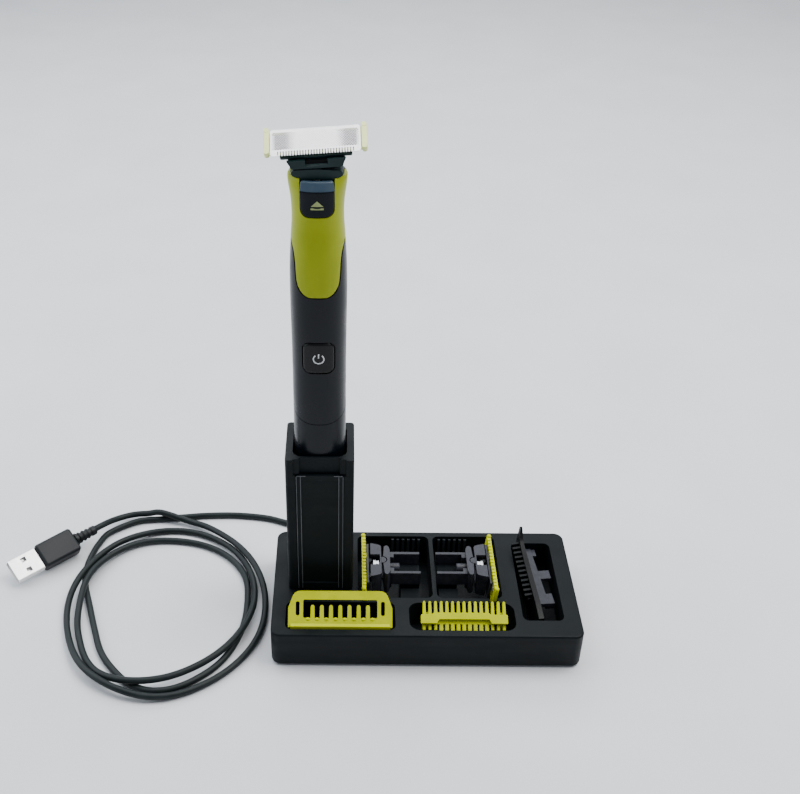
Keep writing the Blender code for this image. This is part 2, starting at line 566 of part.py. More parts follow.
def make_stubble_comb():
    """Frame with seven free teeth, leaning back out of its pocket on a front skirt."""
    centre_x, low_y, low_z, slope = -39.4, -29.6, 19.6, 48.0
    place = at(centre_x, low_y, low_z) @ Matrix.Rotation(math.radians(slope), 4, "X")
    outer = mirrored([(0, 0), (23.7, 0), (23.7, 8.6), (22.0, 13.2), (20.9, 15.2), (19.4, 16.2), (0, 16.2)])
    window = [(-16.5, 12.2), (-16.5, 4.1)]
    for i in range(7):
        x = (i - 3) * 4.2
        window += [(x - 0.95, 4.1), (x - 0.95, 9.6), (x, 10.1), (x + 0.95, 9.6), (x + 0.95, 4.1)]
    window += [(16.5, 4.1), (16.5, 12.2)]
    slots = [rounded_rectangle(min(s * 18.4, s * 20.4), 5.2, max(s * 18.4, s * 20.4), 11.6, 0.9, 2) for s in (-1, 1)]
    comb = outline("stubble_comb", [outer, window, *slots], -2.4, 0.0, place, "lime")
    skirt = [box("comb_skirt", (centre_x - 22.5, -30.4, 6.6), (centre_x + 22.5, -28.6, 21.0))]
    for side in (-1, 1):
        x = centre_x + side * 22.0
        skirt.append(box(f"comb_side_{side}", (x - 0.9, -29.6, 6.6), (x + 0.9, -22.0, 24.6)))
    unite(comb, *skirt)


def make_skin_guard():
    """Two rows of short teeth: fifteen long ones up the slope and fifteen short ones in front."""
    centre_x, low_y, low_z, slope = 17.1, -30.2, 19.0, 35.0
    place = at(centre_x, low_y, low_z) @ Matrix.Rotation(math.radians(slope), 4, "X")
    half, pitch, teeth = 19.8, 2.6, 15
    edge = [(half, 3.0), (half, 6.6), (19.5, 7.2)]
    for i in range(teeth):
        x = (teeth - 1) / 2 * pitch - i * pitch
        root = 7.2 if i in (0, 1, 2, teeth - 2, teeth - 1) else 8.0
        edge += [(x + 0.78, root), (x + 0.6, 13.2), (x - 0.6, 13.2), (x - 0.78, root)]
    edge += [(-19.5, 7.2), (-half, 6.6), (-half, 3.0), (-12.4, 3.0), (-11.4, 4.9), (11.4, 4.9), (12.4, 3.0)]
    comb = outline("skin_guard", [edge], -1.8, 0.0, place, "lime")
    lower_edge = [(19.4, 1.6), (19.4, 6.0), (-19.4, 6.0), (-19.4, 1.6)]
    for i in range(teeth):
        x = -(teeth - 1) / 2 * pitch + i * pitch
        lower_edge += [(x - 0.9, 1.6), (x - 0.9, 0.0), (x + 0.9, 0.0), (x + 0.9, 1.6)]
    lower = outline("guard_front_row", [lower_edge], -3.6, -1.4, place)
    legs = [box(f"guard_leg_{s}", (centre_x + s * 17.6 - 1.2, -26.5, 6.4), (centre_x + s * 17.6 + 1.2, -21.5, 22.4))
            for s in (-1, 1)]
    for piece in (lower, *legs):
        combine(comb, piece, "UNION", "MANIFOLD")


def make_precision_comb():
    """A long comb on its edge, teeth towards -X, a little askew, and the clip that holds it to the handle."""
    pivot = at(51.5, 2.0, 0)
    askew = pivot @ Matrix.Rotation(math.radians(6.0), 4, "Z") @ pivot.inverted()
    side_on = Matrix.Rotation(math.radians(90), 4, "Y") @ Matrix.Rotation(math.radians(90), 4, "Z")
    spine_x = 50.4
    blade = [(-22.6, 5.4), (24.0, 5.4), (26.4, 29.5), (25.6, 32.4), (23.6, 32.0), (21.0, 27.0), (-14.0, 21.4),
             (-22.6, 19.0)]
    comb = outline("precision_comb", [blade], -1.2, 1.2, askew @ at(spine_x, 0, 0) @ side_on, "printed_black")
    for i in range(12):
        y = -8.0 + i * 2.7
        unite(comb, box(f"comb_tooth_{i}", (spine_x - 4.6, y - 0.6, 18.6 + i * 0.45),
                        (spine_x, y + 0.6, 20.6 + i * 0.45), place=askew))
    clip = box("precision_comb_clip", (spine_x + 1.5, -12.0, 15.4), (spine_x + 6.4, 25.5, 17.4), "printed_black",
               askew)
    unite(clip, box("clip_arm", (spine_x + 5.0, 4.4, 15.4), (spine_x + 11.6, 9.8, 17.4), place=askew),
          box("clip_hook", (spine_x + 5.0, 20.5, 15.7), (spine_x + 8.4, 25.0, 17.1), place=askew),
          box("clip_foot", (spine_x + 5.0, -11.5, 13.4), (spine_x + 9.4, -5.0, 16.8), place=askew))


# ---------------------------------------------------------------- USB lead

def smooth(points, per_span):
    """Points along a smooth curve through the given ones."""
    knots = [Vector(p) for p in points]
    knots = [2 * knots[0] - knots[1]] + knots + [2 * knots[-1] - knots[-2]]
    curve = []
    for a, b, c, d in zip(knots, knots[1:], knots[2:], knots[3:]):
        for i in range(per_span):
            t = i / per_span
            curve.append(0.5 * (2 * b + (c - a) * t + (2 * a - 5 * b + 4 * c - d) * t * t
                                + (3 * b - a - 3 * c + d) * t ** 3))
    return curve + [knots[-2]]


def winding_radius(angle):
    """Radius of the winding at an angle, eased between the listed ones."""
    place = (angle - FIRST_ANGLE) / TURN_STEP
    i = min(max(int(place), 0), len(TURN_RADII) - 2)
    t = place - i
    radii = [TURN_RADII[min(max(i + k, 0), len(TURN_RADII) - 1)] for k in (-1, 0, 1, 2)]
    a, b, c, d = radii
    return 0.5 * (2 * b + (c - a) * t + (2 * a - 5 * b + 4 * c - d) * t * t + (3 * b - a - 3 * c + d) * t ** 3)


def winding_point(angle):
    radius, turn = winding_radius(angle), math.radians(angle)
    height = CORD_RADIUS + 0.05
    for crossing in CROSSINGS:
        away = abs(angle - crossing) / HUMP_REACH
        if away < 1:
            height += HUMP_HEIGHT * math.cos(away * math.pi / 2) ** 2
    return (TURN_CENTRE[0] + radius * math.cos(turn), TURN_CENTRE[1] + radius * math.sin(turn), height)


def plug_matrix():
    turn = Matrix.Rotation(math.radians(PLUG_YAW), 4, "Z") @ Matrix.Rotation(math.radians(-PLUG_ROLL), 4, "X")
    return at(*PLUG_FRONT) @ turn


def make_lead():
    into_coil, out_of_coil = 138, 1152
    lead = LEAD_START + [winding_point(angle) for angle in (126, 132, into_coil)]
    tube("usb_cable_lead", smooth(lead, 2), CORD_RADIUS, "rubber")

    first, last, margin = 150, 1140, CORD_RADIUS + 0.3
    inner, outer = [], []
    for angle in range(0, 360, 10):
        turns = [winding_radius(angle + 360 * k) for k in range(4) if first <= angle + 360 * k <= last]
        turn = math.radians(angle)
        for ring, radius in ((inner, min(turns) - margin), (outer, max(turns) + margin)):
            ring.append((TURN_CENTRE[0] + radius * math.cos(turn), TURN_CENTRE[1] + radius * math.sin(turn)))
    outline("usb_cable_coil", [outer, inner], 0.05, 7.0, FLAT, "rubber")

    plug = plug_matrix()
    length, width, thickness = PLUG_BODY
    relief_end = plug @ Vector((-(length + RELIEF_LENGTH + 2 * GAP) * MM, 0, 0)) / MM
    tail = [winding_point(angle) for angle in (out_of_coil, 1158, 1164, 1170)] + LEAD_END + [tuple(relief_end)]
    tube("usb_cable_tail", smooth(tail, 2), CORD_RADIUS, "rubber")

    body = box("usb_plug_body", (-length, -width / 2, -thickness / 2), (0, width / 2, thickness / 2),
               "rubber", plug)
    bevel(body, 1.2, 2)
    shell_length, shell_width, shell_height = PLUG_SHELL
    half_width, half_height, wall = shell_width / 2, shell_height / 2, 0.4
    shell = box("usb_plug_shell", (GAP, -half_width, -half_height), (shell_length, half_width, half_height),
                "steel", plug)
    cut(shell, box("shell_inside", (1.2, wall - half_width, wall - half_height),
                   (30, half_width - wall, half_height - wall), place=plug))
    for side in (-1, 1):
        cut(shell, box(f"shell_window_{side}", (6.4, side * 3.0 - 1.1, 1.0), (8.9, side * 3.0 + 1.1, 5.0), place=plug))
    box("usb_plug_tongue", (1.5, -5.2, -1.6), (shell_length - 0.8, 5.2, 0.2), "white_plastic", plug)
    cylinder("usb_strain_relief", (-length - GAP, 0, 0), (-length - RELIEF_LENGTH, 0, 0), 3.1, "rubber", 20,
             end_radius=2.2, place=plug)


# ---------------------------------------------------------------- joints

def joint_frame(name, place, pieces, parent=None):
    """An empty on a joint's axis, with the pieces that the joint moves under it."""
    frame = bpy.data.objects.new(name, None)
    frame.location = Vector(place) * MM
    PART.objects.link(frame)
    if parent:
        hang(frame, parent)
    for piece in pieces:
        hang(bpy.data.objects[piece], frame)
    return frame


def hang(child, parent):
    bpy.context.view_layer.update()
    child.parent = parent
    child.matrix_parent_inverse = parent.matrix_world.inverted()


def make_joint_frames():
    x, y = AXIS_X, AXIS_Y
    handle = joint_frame("handle_frame", (x, y, HANDLE_BOTTOM), [
        "main_housing", "lower_housing", "lime_panel", "seam_seal", "inner_chassis", "battery_cell",
        "circuit_board", "power_switch", "status_led", "charge_socket", "motor_can", "drive_block", "arm_pin",
        "release_spring", "chassis_screw_1", "chassis_screw_2"])
    joint_frame("rotor_frame", (x, y, MOTOR_HIGH), ["motor_rotor"], handle)
    joint_frame("arm_frame", (x, y, ARM_PIVOT_Z), ["drive_arm"], handle)
    joint_frame("slider_frame", (x, y, SLIDER_LOW), ["release_slider"], handle)
    joint_frame("button_frame", (x, y, BUTTON_Z), ["power_button"], handle)
    cartridge = joint_frame("cartridge_frame", (x, y, CARTRIDGE_Z), ["blade_clip"], handle)
    cradle = joint_frame("cradle_frame", (x, y, CARTRIDGE_Z + ROLL_PIVOT_Z), ["blade_cradle"], cartridge)
    head_place = head_matrix(at(x, y, CARTRIDGE_Z), HEAD_ROLL)[0]
    pin = head_place @ Vector((0, 0, ROCK_PIN_Z * MM)) / MM
    head = joint_frame("head_frame", pin, ["blade_base", "blade_frame", "comb_plate"], cradle)
    joint_frame("cutter_frame", pin, ["cutter"], head)
    for piece in ("stubble_comb", "skin_guard"):
        joint_frame(piece + "_frame", (0, 0, STAND_TOP), [piece])
    joint_frame("precision_comb_frame", (0, 0, STAND_TOP), ["precision_comb", "precision_comb_clip"])
    for side in ("left", "right"):
        joint_frame(f"spare_{side}_frame", (0, 0, STAND_TOP), [
            f"spare_{side}_{piece}" for piece in ("blade_clip", "blade_cradle", "blade_base", "blade_frame",
                                                  "comb_plate")])


# ---------------------------------------------------------------- build

clear_scene()
PART = new_collection("beard_trimmer")
CUTTERS = new_collection("cutters")
make_tray()
make_tower()
make_dock()
make_housings()
make_seam_seal()
make_handle_inside()
make_blades()
make_stubble_comb()
make_skin_guard()
make_precision_comb()
make_lead()
make_joint_frames()
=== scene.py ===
"""Looks of the beard trimmer, its charging stand, combs, spare blades and USB lead.

Sizes are in millimetres and turned into metres by MM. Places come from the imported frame.
"""

import math

import bmesh
import bpy
import numpy as np
from mathutils import Matrix, Vector


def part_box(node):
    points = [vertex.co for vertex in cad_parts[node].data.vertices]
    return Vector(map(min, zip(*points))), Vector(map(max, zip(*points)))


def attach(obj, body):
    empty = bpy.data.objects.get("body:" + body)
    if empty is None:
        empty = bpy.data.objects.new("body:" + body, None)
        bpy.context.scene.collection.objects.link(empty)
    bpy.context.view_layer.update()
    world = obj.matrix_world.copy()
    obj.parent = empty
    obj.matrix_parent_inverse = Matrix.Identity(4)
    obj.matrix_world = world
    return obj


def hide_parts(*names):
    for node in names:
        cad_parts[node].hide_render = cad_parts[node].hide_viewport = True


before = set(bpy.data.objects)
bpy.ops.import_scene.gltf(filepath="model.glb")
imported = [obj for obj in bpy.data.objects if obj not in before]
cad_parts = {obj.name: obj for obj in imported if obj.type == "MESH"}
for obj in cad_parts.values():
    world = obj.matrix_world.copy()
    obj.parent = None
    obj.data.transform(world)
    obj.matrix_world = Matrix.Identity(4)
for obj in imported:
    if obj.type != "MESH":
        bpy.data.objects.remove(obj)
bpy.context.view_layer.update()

MM = 0.001


def low(node):
    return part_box(node)[0] / MM


def high(node):
    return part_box(node)[1] / MM


def middle(node):
    return (low(node) + high(node)) / 2


AXIS_X, AXIS_Y, _ = middle("motor_can")
TRAY_LOW, TRAY_HIGH = low("stand_tray"), high("stand_tray")
TOWER_LOW, TOWER_HIGH = low("stand_tower"), high("stand_tower")


# ------ camera

SEEN_FROM = Vector((-0.04211, -0.38111, 0.39334))      # metres, before the turn about the trimmer's axis
CAMERA_TURN, CAMERA_PITCH = math.radians(0.6), math.radians(55.0)
SENSOR_WIDTH, LENS, LENS_SHIFT = 36.0, 49.82, 0.0812


def make_camera():
    data = bpy.data.cameras.new("camera")
    data.sensor_width = SENSOR_WIDTH
    data.lens = LENS
    data.shift_x = LENS_SHIFT
    data.clip_end = 20.0
    camera = bpy.data.objects.new("camera", data)
    axis = Vector((AXIS_X * MM, AXIS_Y * MM, 0))
    turn = Matrix.Translation(axis) @ Matrix.Rotation(CAMERA_TURN, 4, "Z")
    camera.location = turn @ (SEEN_FROM - axis)
    camera.rotation_euler = (CAMERA_PITCH, 0.0, CAMERA_TURN)
    bpy.context.scene.collection.objects.link(camera)
    bpy.context.scene.camera = camera


# ------ materials

def new_material(name):
    """A material with its shader, and a function that adds a node with its settings."""
    made = bpy.data.materials.new(name)
    made.use_nodes = True
    nodes, links = made.node_tree.nodes, made.node_tree.links
    shader = nodes["Principled BSDF"]

    def node(kind, inputs=None, **settings):
        new = nodes.new(kind)
        for key, value in settings.items():
            setattr(new, key, value)
        for key, value in (inputs or {}).items():
            if isinstance(value, bpy.types.NodeSocket):
                links.new(value, new.inputs[key])
            else:
                new.inputs[key].default_value = value
        return new

    return made, shader, node, links


def position(node, stretch=(1, 1, 1)):
    place = node("ShaderNodeTexCoord").outputs["Object"]
    return node("ShaderNodeMapping", {"Vector": place, "Scale": stretch}).outputs["Vector"]


def noise(node, place, size, detail=3.0):
    """Noise whose features are about size millimetres across."""
    made = node("ShaderNodeTexNoise", {"Vector": place, "Scale": 1 / (size * MM), "Detail": detail})
    return made.outputs["Fac"]


def ramp(node, value, stops):
    made = node("ShaderNodeValToRGB", {"Fac": value})
    points = made.color_ramp.elements
    while len(points) < len(stops):
        points.new(0.5)
    for point, (place, colour) in zip(points, stops):
        point.position = place
        point.color = (*colour, 1.0)
    return made.outputs["Color"]


def spread(node, value, low_value, high_value):
    made = node("ShaderNodeMapRange", {"Value": value, "From Min": 0.3, "From Max": 0.7,
                                       "To Min": low_value, "To Max": high_value})
    return made.outputs["Result"]


def bump(node, height, depth, below=None):
    """Bump of a depth in millimetres, laid over another bump."""
    inputs = {"Height": height, "Distance": depth * MM, "Strength": 1.0}
    if below:
        inputs["Normal"] = below
    return node("ShaderNodeBump", inputs).outputs["Normal"]


def set_sockets(shader, sockets):
    for key, value in sockets.items():
        shader.inputs[key.replace("_", " ")].default_value = value


def plastic(name, dark, light, roughness, grain=0.35, grain_depth=0.02, patch=9.0, **sockets):
    """Moulded plastic: fine grain in the surface, slow change of colour and of gloss."""
    made, shader, node, links = new_material(name)
    place = position(node)
    slow, fine = noise(node, place, patch), noise(node, place, grain, 2.0)
    links.new(ramp(node, slow, [(0.3, dark), (0.7, light)]), shader.inputs["Base Color"])
    links.new(spread(node, slow, roughness - 0.05, roughness + 0.06), shader.inputs["Roughness"])
    links.new(bump(node, fine, grain_depth), shader.inputs["Normal"])
    set_sockets(shader, sockets)
    return made


def printed(name, dark, light, roughness, layer=0.7, layer_depth=0.05, **sockets):
    """Plastic laid down in level layers, with the slight unevenness of the print."""
    made, shader, node, links = new_material(name)
    place = position(node)
    wobble = noise(node, position(node, (0.2, 0.2, 1)), 3.0, 2.0)
    layers = node("ShaderNodeTexWave", {
        "Vector": place, "Scale": 2 * math.pi / (20 * layer * MM), "Distortion": 0.6, "Detail": 1.0},
        bands_direction="Z").outputs["Fac"]
    slow, fine = noise(node, place, 14.0), noise(node, place, 0.5, 2.0)
    tone = node("ShaderNodeMix", {"Factor": 0.35, "A": slow, "B": wobble}, data_type="FLOAT")
    links.new(ramp(node, tone.outputs["Result"], [(0.3, dark), (0.7, light)]), shader.inputs["Base Color"])
    links.new(spread(node, wobble, roughness - 0.08, roughness + 0.08), shader.inputs["Roughness"])
    grainy = bump(node, fine, 0.03)
    links.new(bump(node, layers, layer_depth, grainy), shader.inputs["Normal"])
    set_sockets(shader, sockets)
    return made


def brushed(name, dark, light, roughness, along=(1, 1, 1), depth=0.006, metallic=1.0):
    """Metal with fine parallel scratches, stretched by along."""
    made, shader, node, links = new_material(name)
    place = position(node, along)
    scratches, slow = noise(node, place, 0.5, 4.0), noise(node, position(node), 6.0)
    links.new(ramp(node, slow, [(0.3, dark), (0.7, light)]), shader.inputs["Base Color"])
    links.new(spread(node, scratches, roughness - 0.06, roughness + 0.08), shader.inputs["Roughness"])
    links.new(bump(node, scratches, depth), shader.inputs["Normal"])
    shader.inputs["Metallic"].default_value = metallic
    return made


DIM, LOW_GLOSS = {"Specular_IOR_Level": 0.20}, {"Specular_IOR_Level": 0.12}
PLASTICS = {                                # darker and lighter colour, roughness, other settings
    "satin_black": ((0.0012, 0.0024, 0.0044), (0.0024, 0.0042, 0.0072), 0.30, DIM),
    "button_black": ((0.0020, 0.0022, 0.0028), (0.0036, 0.0038, 0.0048), 0.26, DIM),
    "dark_green_black": ((0.0050, 0.0180, 0.0190), (0.0090, 0.0280, 0.0300), 0.40,
                         {"Specular_IOR_Level": 0.25}),
    "navy_black": ((0.0014, 0.0032, 0.0060), (0.0030, 0.0056, 0.0100), 0.30, LOW_GLOSS),
    # painted highlight: a lighter copy of navy_black for the slider's top facet, for the light it catches
    "slider_top": ((0.0280, 0.0540, 0.0840), (0.0440, 0.0740, 0.1100), 0.34, {}),
    "grey_black": ((0.0130, 0.0140, 0.0200), (0.0290, 0.0300, 0.0410), 0.36,
                   {"patch": 3.0, "Specular_IOR_Level": 0.3}),
    "comb_black": ((0.0024, 0.0030, 0.0036), (0.0050, 0.0060, 0.0068), 0.40, LOW_GLOSS),
    "lime": ((0.430, 0.475, 0.0003), (0.540, 0.580, 0.0006), 0.36,
             {"patch": 12.0, "Specular_IOR_Level": 0.06}),
    "panel_lime": ((0.240, 0.285, 0.0030), (0.310, 0.360, 0.0050), 0.38,
                   {"patch": 22.0, "Specular_IOR_Level": 0.18}),
    "pale_lime": ((0.800, 0.880, 0.340), (0.890, 0.950, 0.440), 0.42, {"patch": 5.0}),
    "symbol_lime": ((0.260, 0.310, 0.100), (0.330, 0.380, 0.140), 0.50, {"patch": 3.0}),
    "symbol_white": ((0.560, 0.570, 0.580), (0.680, 0.690, 0.700), 0.50, {"patch": 3.0}),
    "white_plastic": ((0.700, 0.700, 0.690), (0.800, 0.800, 0.790), 0.42, {}),
    "rubber": ((0.0062, 0.0100, 0.0105), (0.0115, 0.0165, 0.0172), 0.46, {"grain": 0.5, **DIM}),
    "plug_rubber": ((0.0090, 0.0105, 0.0125), (0.0150, 0.0170, 0.0195), 0.42, {"grain": 0.4, **DIM}),
    # painted shade: used only for the dark sheet in the working cradle's window
    "deep_black": ((0.0012, 0.0016, 0.0020), (0.0024, 0.0028, 0.0034), 0.60, LOW_GLOSS),
    # painted highlight: a lighter grey for the pocket ribs, so that they show as lit
    "rib_grey": ((0.0140, 0.0190, 0.0230), (0.0240, 0.0300, 0.0350), 0.42, {"patch": 4.0}),
    "board_green": ((0.010, 0.110, 0.040), (0.020, 0.160, 0.060), 0.35, {"patch": 3.0}),
    "battery_blue": ((0.030, 0.080, 0.240), (0.050, 0.120, 0.320), 0.32, {}),
}
PRINTS = {
    "printed_black": ((0.0026, 0.0042, 0.0052), (0.0048, 0.0074, 0.0090), 0.46, {"Specular_IOR_Level": 0.11}),
    # painted highlight: pale grey for the thin lines along the tower cover's edges
    "printed_edge": ((0.0600, 0.0660, 0.0760), (0.1100, 0.1180, 0.1320), 0.40, {}),
}
METALS = {
    "blade_steel": ((0.860, 0.850, 0.880), (0.930, 0.920, 0.945), 0.36,
                    {"along": (1, 0.08, 1), "depth": 0.003, "metallic": 0.55}),
    "dark_steel": ((0.014, 0.010, 0.030), (0.032, 0.024, 0.055), 0.50, {"along": (1, 0.08, 1)}),
    "plug_steel": ((0.880, 0.870, 0.860), (0.930, 0.922, 0.915), 0.38,
                   {"along": (0.3, 0.3, 1), "depth": 0.0015, "metallic": 0.8}),
    "steel": ((0.560, 0.560, 0.570), (0.700, 0.700, 0.710), 0.28, {"along": (1, 1, 0.1)}),
}


def make_materials():
    return {name: make(name, dark, light, roughness, **settings)
            for make, table in ((plastic, PLASTICS), (printed, PRINTS), (brushed, METALS))
            for name, (dark, light, roughness, settings) in table.items()}


# ------ shapes

def new_object(name, data, material=None):
    made = bpy.data.objects.new(name, data)
    bpy.context.scene.collection.objects.link(made)
    if material:
        data.materials.append(MATERIALS[material])
    return made


def from_bmesh(name, shape, material=None):
    mesh = bpy.data.meshes.new(name)
    shape.to_mesh(mesh)
    shape.free()
    return new_object(name, mesh, material)


def placed(made, place):
    if place:
        made.matrix_world = place
    return made


def box(name, start, end, material=None, place=None):
    shape = bmesh.new()
    bmesh.ops.create_cube(shape, size=1.0)
    start, end = Vector(start) * MM, Vector(end) * MM
    fit = Matrix.Translation((start + end) / 2) @ Matrix.Diagonal((*(end - start), 1.0))
    bmesh.ops.transform(shape, matrix=fit, verts=shape.verts)
    return placed(from_bmesh(name, shape, material), place)


def cylinder(name, start, end, radius, material=None, sides=32, end_radius=None, place=None):
    start, end = Vector(start) * MM, Vector(end) * MM
    along = end - start
    shape = bmesh.new()
    bmesh.ops.create_cone(shape, cap_ends=True, segments=sides, radius1=radius * MM, depth=along.length,
                          radius2=(radius if end_radius is None else end_radius) * MM)
    turn = along.to_track_quat("Z", "Y").to_matrix().to_4x4()
    bmesh.ops.transform(shape, matrix=Matrix.Translation((start + end) / 2) @ turn, verts=shape.verts)
    return placed(from_bmesh(name, shape, material), place)


def ball(name, centre, radii, material=None, place=None):
    shape = bmesh.new()
    bmesh.ops.create_uvsphere(shape, u_segments=20, v_segments=12, radius=1.0)
    fit = Matrix.Translation(Vector(centre) * MM) @ Matrix.Diagonal((*(Vector(radii) * MM), 1.0))
    bmesh.ops.transform(shape, matrix=fit, verts=shape.verts)
    return placed(from_bmesh(name, shape, material), place)


def outline(name, loops, start, end, place, material=None):
    """A flat outline with holes, from start to end along the Z of place, as a mesh."""
    curve = bpy.data.curves.new(name, "CURVE")
    curve.dimensions = "2D"
    curve.fill_mode = "BOTH"
    curve.extrude = (end - start) / 2 * MM
    for loop in loops:
        spline = curve.splines.new("POLY")
        spline.points.add(len(loop) - 1)
        for point, (x, y) in zip(spline.points, loop):
            point.co = (x * MM, y * MM, 0.0, 1.0)
        spline.use_cyclic_u = True
    guide = bpy.data.objects.new(name + "_outline", curve)
    bpy.context.scene.collection.objects.link(guide)
    bpy.context.view_layer.update()
    mesh = bpy.data.meshes.new_from_object(guide.evaluated_get(bpy.context.evaluated_depsgraph_get()))
    bpy.data.objects.remove(guide, do_unlink=True)
    shape = bmesh.new()
    shape.from_mesh(mesh)
    bpy.data.meshes.remove(mesh)
    bmesh.ops.remove_doubles(shape, verts=shape.verts, dist=0.000002)
    if len(loops) == 1:
        bmesh.ops.dissolve_limit(shape, angle_limit=0.01, verts=shape.verts, edges=shape.edges)
    bmesh.ops.translate(shape, vec=(0, 0, (start + end) / 2 * MM), verts=shape.verts)
    bmesh.ops.recalc_face_normals(shape, faces=shape.faces)
    return placed(from_bmesh(name, shape, material), place)


def loft(name, rings, material=None):
    """Joins rings of equal length and closes both ends."""
    shape = bmesh.new()
    levels = [[shape.verts.new(point * MM) for point in ring] for ring in rings]
    for lower, upper in zip(levels, levels[1:]):
        for i in range(len(lower)):
            j = (i + 1) % len(lower)
            shape.faces.new((lower[i], lower[j], upper[j], upper[i]))
    shape.faces.new(list(reversed(levels[0])))
    shape.faces.new(levels[-1])
    bmesh.ops.recalc_face_normals(shape, faces=shape.faces)
    return from_bmesh(name, shape, material)


def line(name, points, radius, material, cyclic=False):
    """A round line through the points, as a curve."""
    curve = bpy.data.curves.new(name, "CURVE")
    curve.dimensions = "3D"
    curve.bevel_depth = radius * MM
    curve.bevel_resolution = 4
    curve.use_fill_caps = True
    spline = curve.splines.new("POLY")
    spline.points.add(len(points) - 1)
    for point, place in zip(spline.points, points):
        point.co = (*(Vector(place) * MM), 1.0)
    spline.use_cyclic_u = cyclic
    spline.use_smooth = True
    return new_object(name, curve, material)


def apply_modifiers(made):
    bpy.context.view_layer.update()
    mesh = bpy.data.meshes.new_from_object(made.evaluated_get(bpy.context.evaluated_depsgraph_get()))
    old = made.data
    made.modifiers.clear()
    made.data = mesh
    if old.users == 0 and isinstance(old, bpy.types.Mesh):
        bpy.data.meshes.remove(old)
    return made


def combine(target, tools, operation):
    for tool in tools:
        step = target.modifiers.new(operation.lower(), "BOOLEAN")
        step.operation = operation
        step.solver = "EXACT"
        step.object = tool
        apply_modifiers(target)
        bpy.data.objects.remove(tool, do_unlink=True)
    return target


def cut(target, *tools):
    return combine(target, tools, "DIFFERENCE")


def unite(target, *tools):
    return combine(target, tools, "UNION")


def rounded(made, width, segments=3, angle=40.0):
    """Rounds a piece's sharp edges."""
    step = made.modifiers.new("rounded", "BEVEL")
    step.width = width * MM
    step.segments = segments
    step.limit_method = "ANGLE"
    step.angle_limit = math.radians(angle)
    step.harden_normals = False
    return apply_modifiers(made)


def smooth_shaded(made, angle=35.0):
    """Smooth over small angles, with the large faces kept flat."""
    made.data.shade_smooth()
    made.data.set_sharp_from_angle(angle=math.radians(angle))
    step = made.modifiers.new("weighted", "WEIGHTED_NORMAL")
    step.keep_sharp = True
    return apply_modifiers(made)


def join(name, pieces, material=None):
    """Several pieces in one object."""
    shape = bmesh.new()
    for piece in pieces:
        apply_modifiers(piece)
        piece.data.transform(piece.matrix_world)
        shape.from_mesh(piece.data)
        bpy.data.objects.remove(piece, do_unlink=True)
    return from_bmesh(name, shape, material)


def show(made, body, slot, *nodes):
    """Shades a piece, puts it under its body's empty and hides the CAD nodes that it stands for. The slot is
    not used.
    """
    if isinstance(made.data, bpy.types.Mesh):
        smooth_shaded(made)
    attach(made, body)
    if nodes:
        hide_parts(*nodes)
    return made


def rounded_rectangle(low_x, low_y, high_x, high_y, radius, steps=6):
    corners = [(high_x - radius, high_y - radius, 0), (low_x + radius, high_y - radius, 90),
               (low_x + radius, low_y + radius, 180), (high_x - radius, low_y + radius, 270)]
    points = []
    for centre_x, centre_y, first in corners:
        for i in range(steps + 1):
            angle = math.radians(first + 90 * i / steps)
            points.append((centre_x + radius * math.cos(angle), centre_y + radius * math.sin(angle)))
    return points


def mirrored(half):
    """Closes a half outline, given from the middle outwards, across x = 0."""
    return half + [(-x, y) for x, y in reversed(half) if x > 0.001]


def at(x, y, z):
    return Matrix.Translation(Vector((x, y, z)) * MM)


QUARTER = math.radians(90)
FACING_FRONT = Matrix.Rotation(QUARTER, 4, "X")                                     # x, z; along -Y
SIDE_ON = Matrix.Rotation(QUARTER, 4, "Y") @ Matrix.Rotation(QUARTER, 4, "Z")       # y, z; along X


def upright(x, z):
    return at(x, 0, z) @ FACING_FRONT


# ------ USB lead

CORD_RADIUS = 1.6
TURN_CENTRE = (-124.0, 3.0)
TURN_STEP = 30                              # degrees between the radii below
FIRST_ANGLE = 120
TURN_RADII = [
    64.0, 50.4, 38.2, 36.8, 44.5, 54.6, 49.8, 42.6, 39.2, 41.1, 42.5, 43.9,
    46.6, 44.9, 41.6, 44.3, 50.2, 48.4, 44.1, 42.0, 42.6, 44.6, 48.2, 51.7,
    51.8, 48.6, 47.4, 48.9, 54.0, 58.2, 55.0, 51.3, 48.1, 48.1, 51.8, 61.0,
]
LEAD_START = [
    (-48.7, 38.6, 7.6), (-48.8, 42.0, 7.4), (-49.4, 46.4, 6.6), (-51.2, 51.0, 5.0), (-54.8, 55.2, 3.2),
    (-60.4, 58.8, 2.0), (-69.0, 61.8, 1.65), (-79.3, 65.4, 1.65), (-95.1, 67.4, 1.65),
    (-110.7, 67.1, 1.65), (-122.3, 65.8, 1.65), (-135.3, 64.0, 1.65), (-147.5, 62.0, 1.65),
]
LEAD_END = [
    (-134.4, 66.6, 4.0), (-142.3, 67.4, 2.2), (-150.0, 66.4, 1.8), (-156.4, 62.8, 2.6), (-160.6, 57.9, 4.6),
    (-163.6, 53.4, 6.3),
]
PLUG_FRONT = (-191.2, 27.4, 6.7)            # where the metal shell leaves the plug's body
PLUG_YAW, PLUG_ROLL = 223.0, 30.0
PLUG_BODY = (20.5, 13.2, 7.6)               # length, width, thickness
PLUG_SHELL = (15.0, 12.0, 4.5)
RELIEF_LENGTH = 12.0
LEAN = 0.95                                 # how far back a lifted stretch is seen, by its lift
PLUG = (at(*PLUG_FRONT) @ Matrix.Rotation(math.radians(PLUG_YAW), 4, "Z")
        @ Matrix.Rotation(math.radians(-PLUG_ROLL), 4, "X"))


def catmull_rom(a, b, c, d, t):
    bend, twist = 2 * a - 5 * b + 4 * c - d, 3 * b - a - 3 * c + d
    return 0.5 * (2 * b + (c - a) * t + bend * t * t + twist * t ** 3)


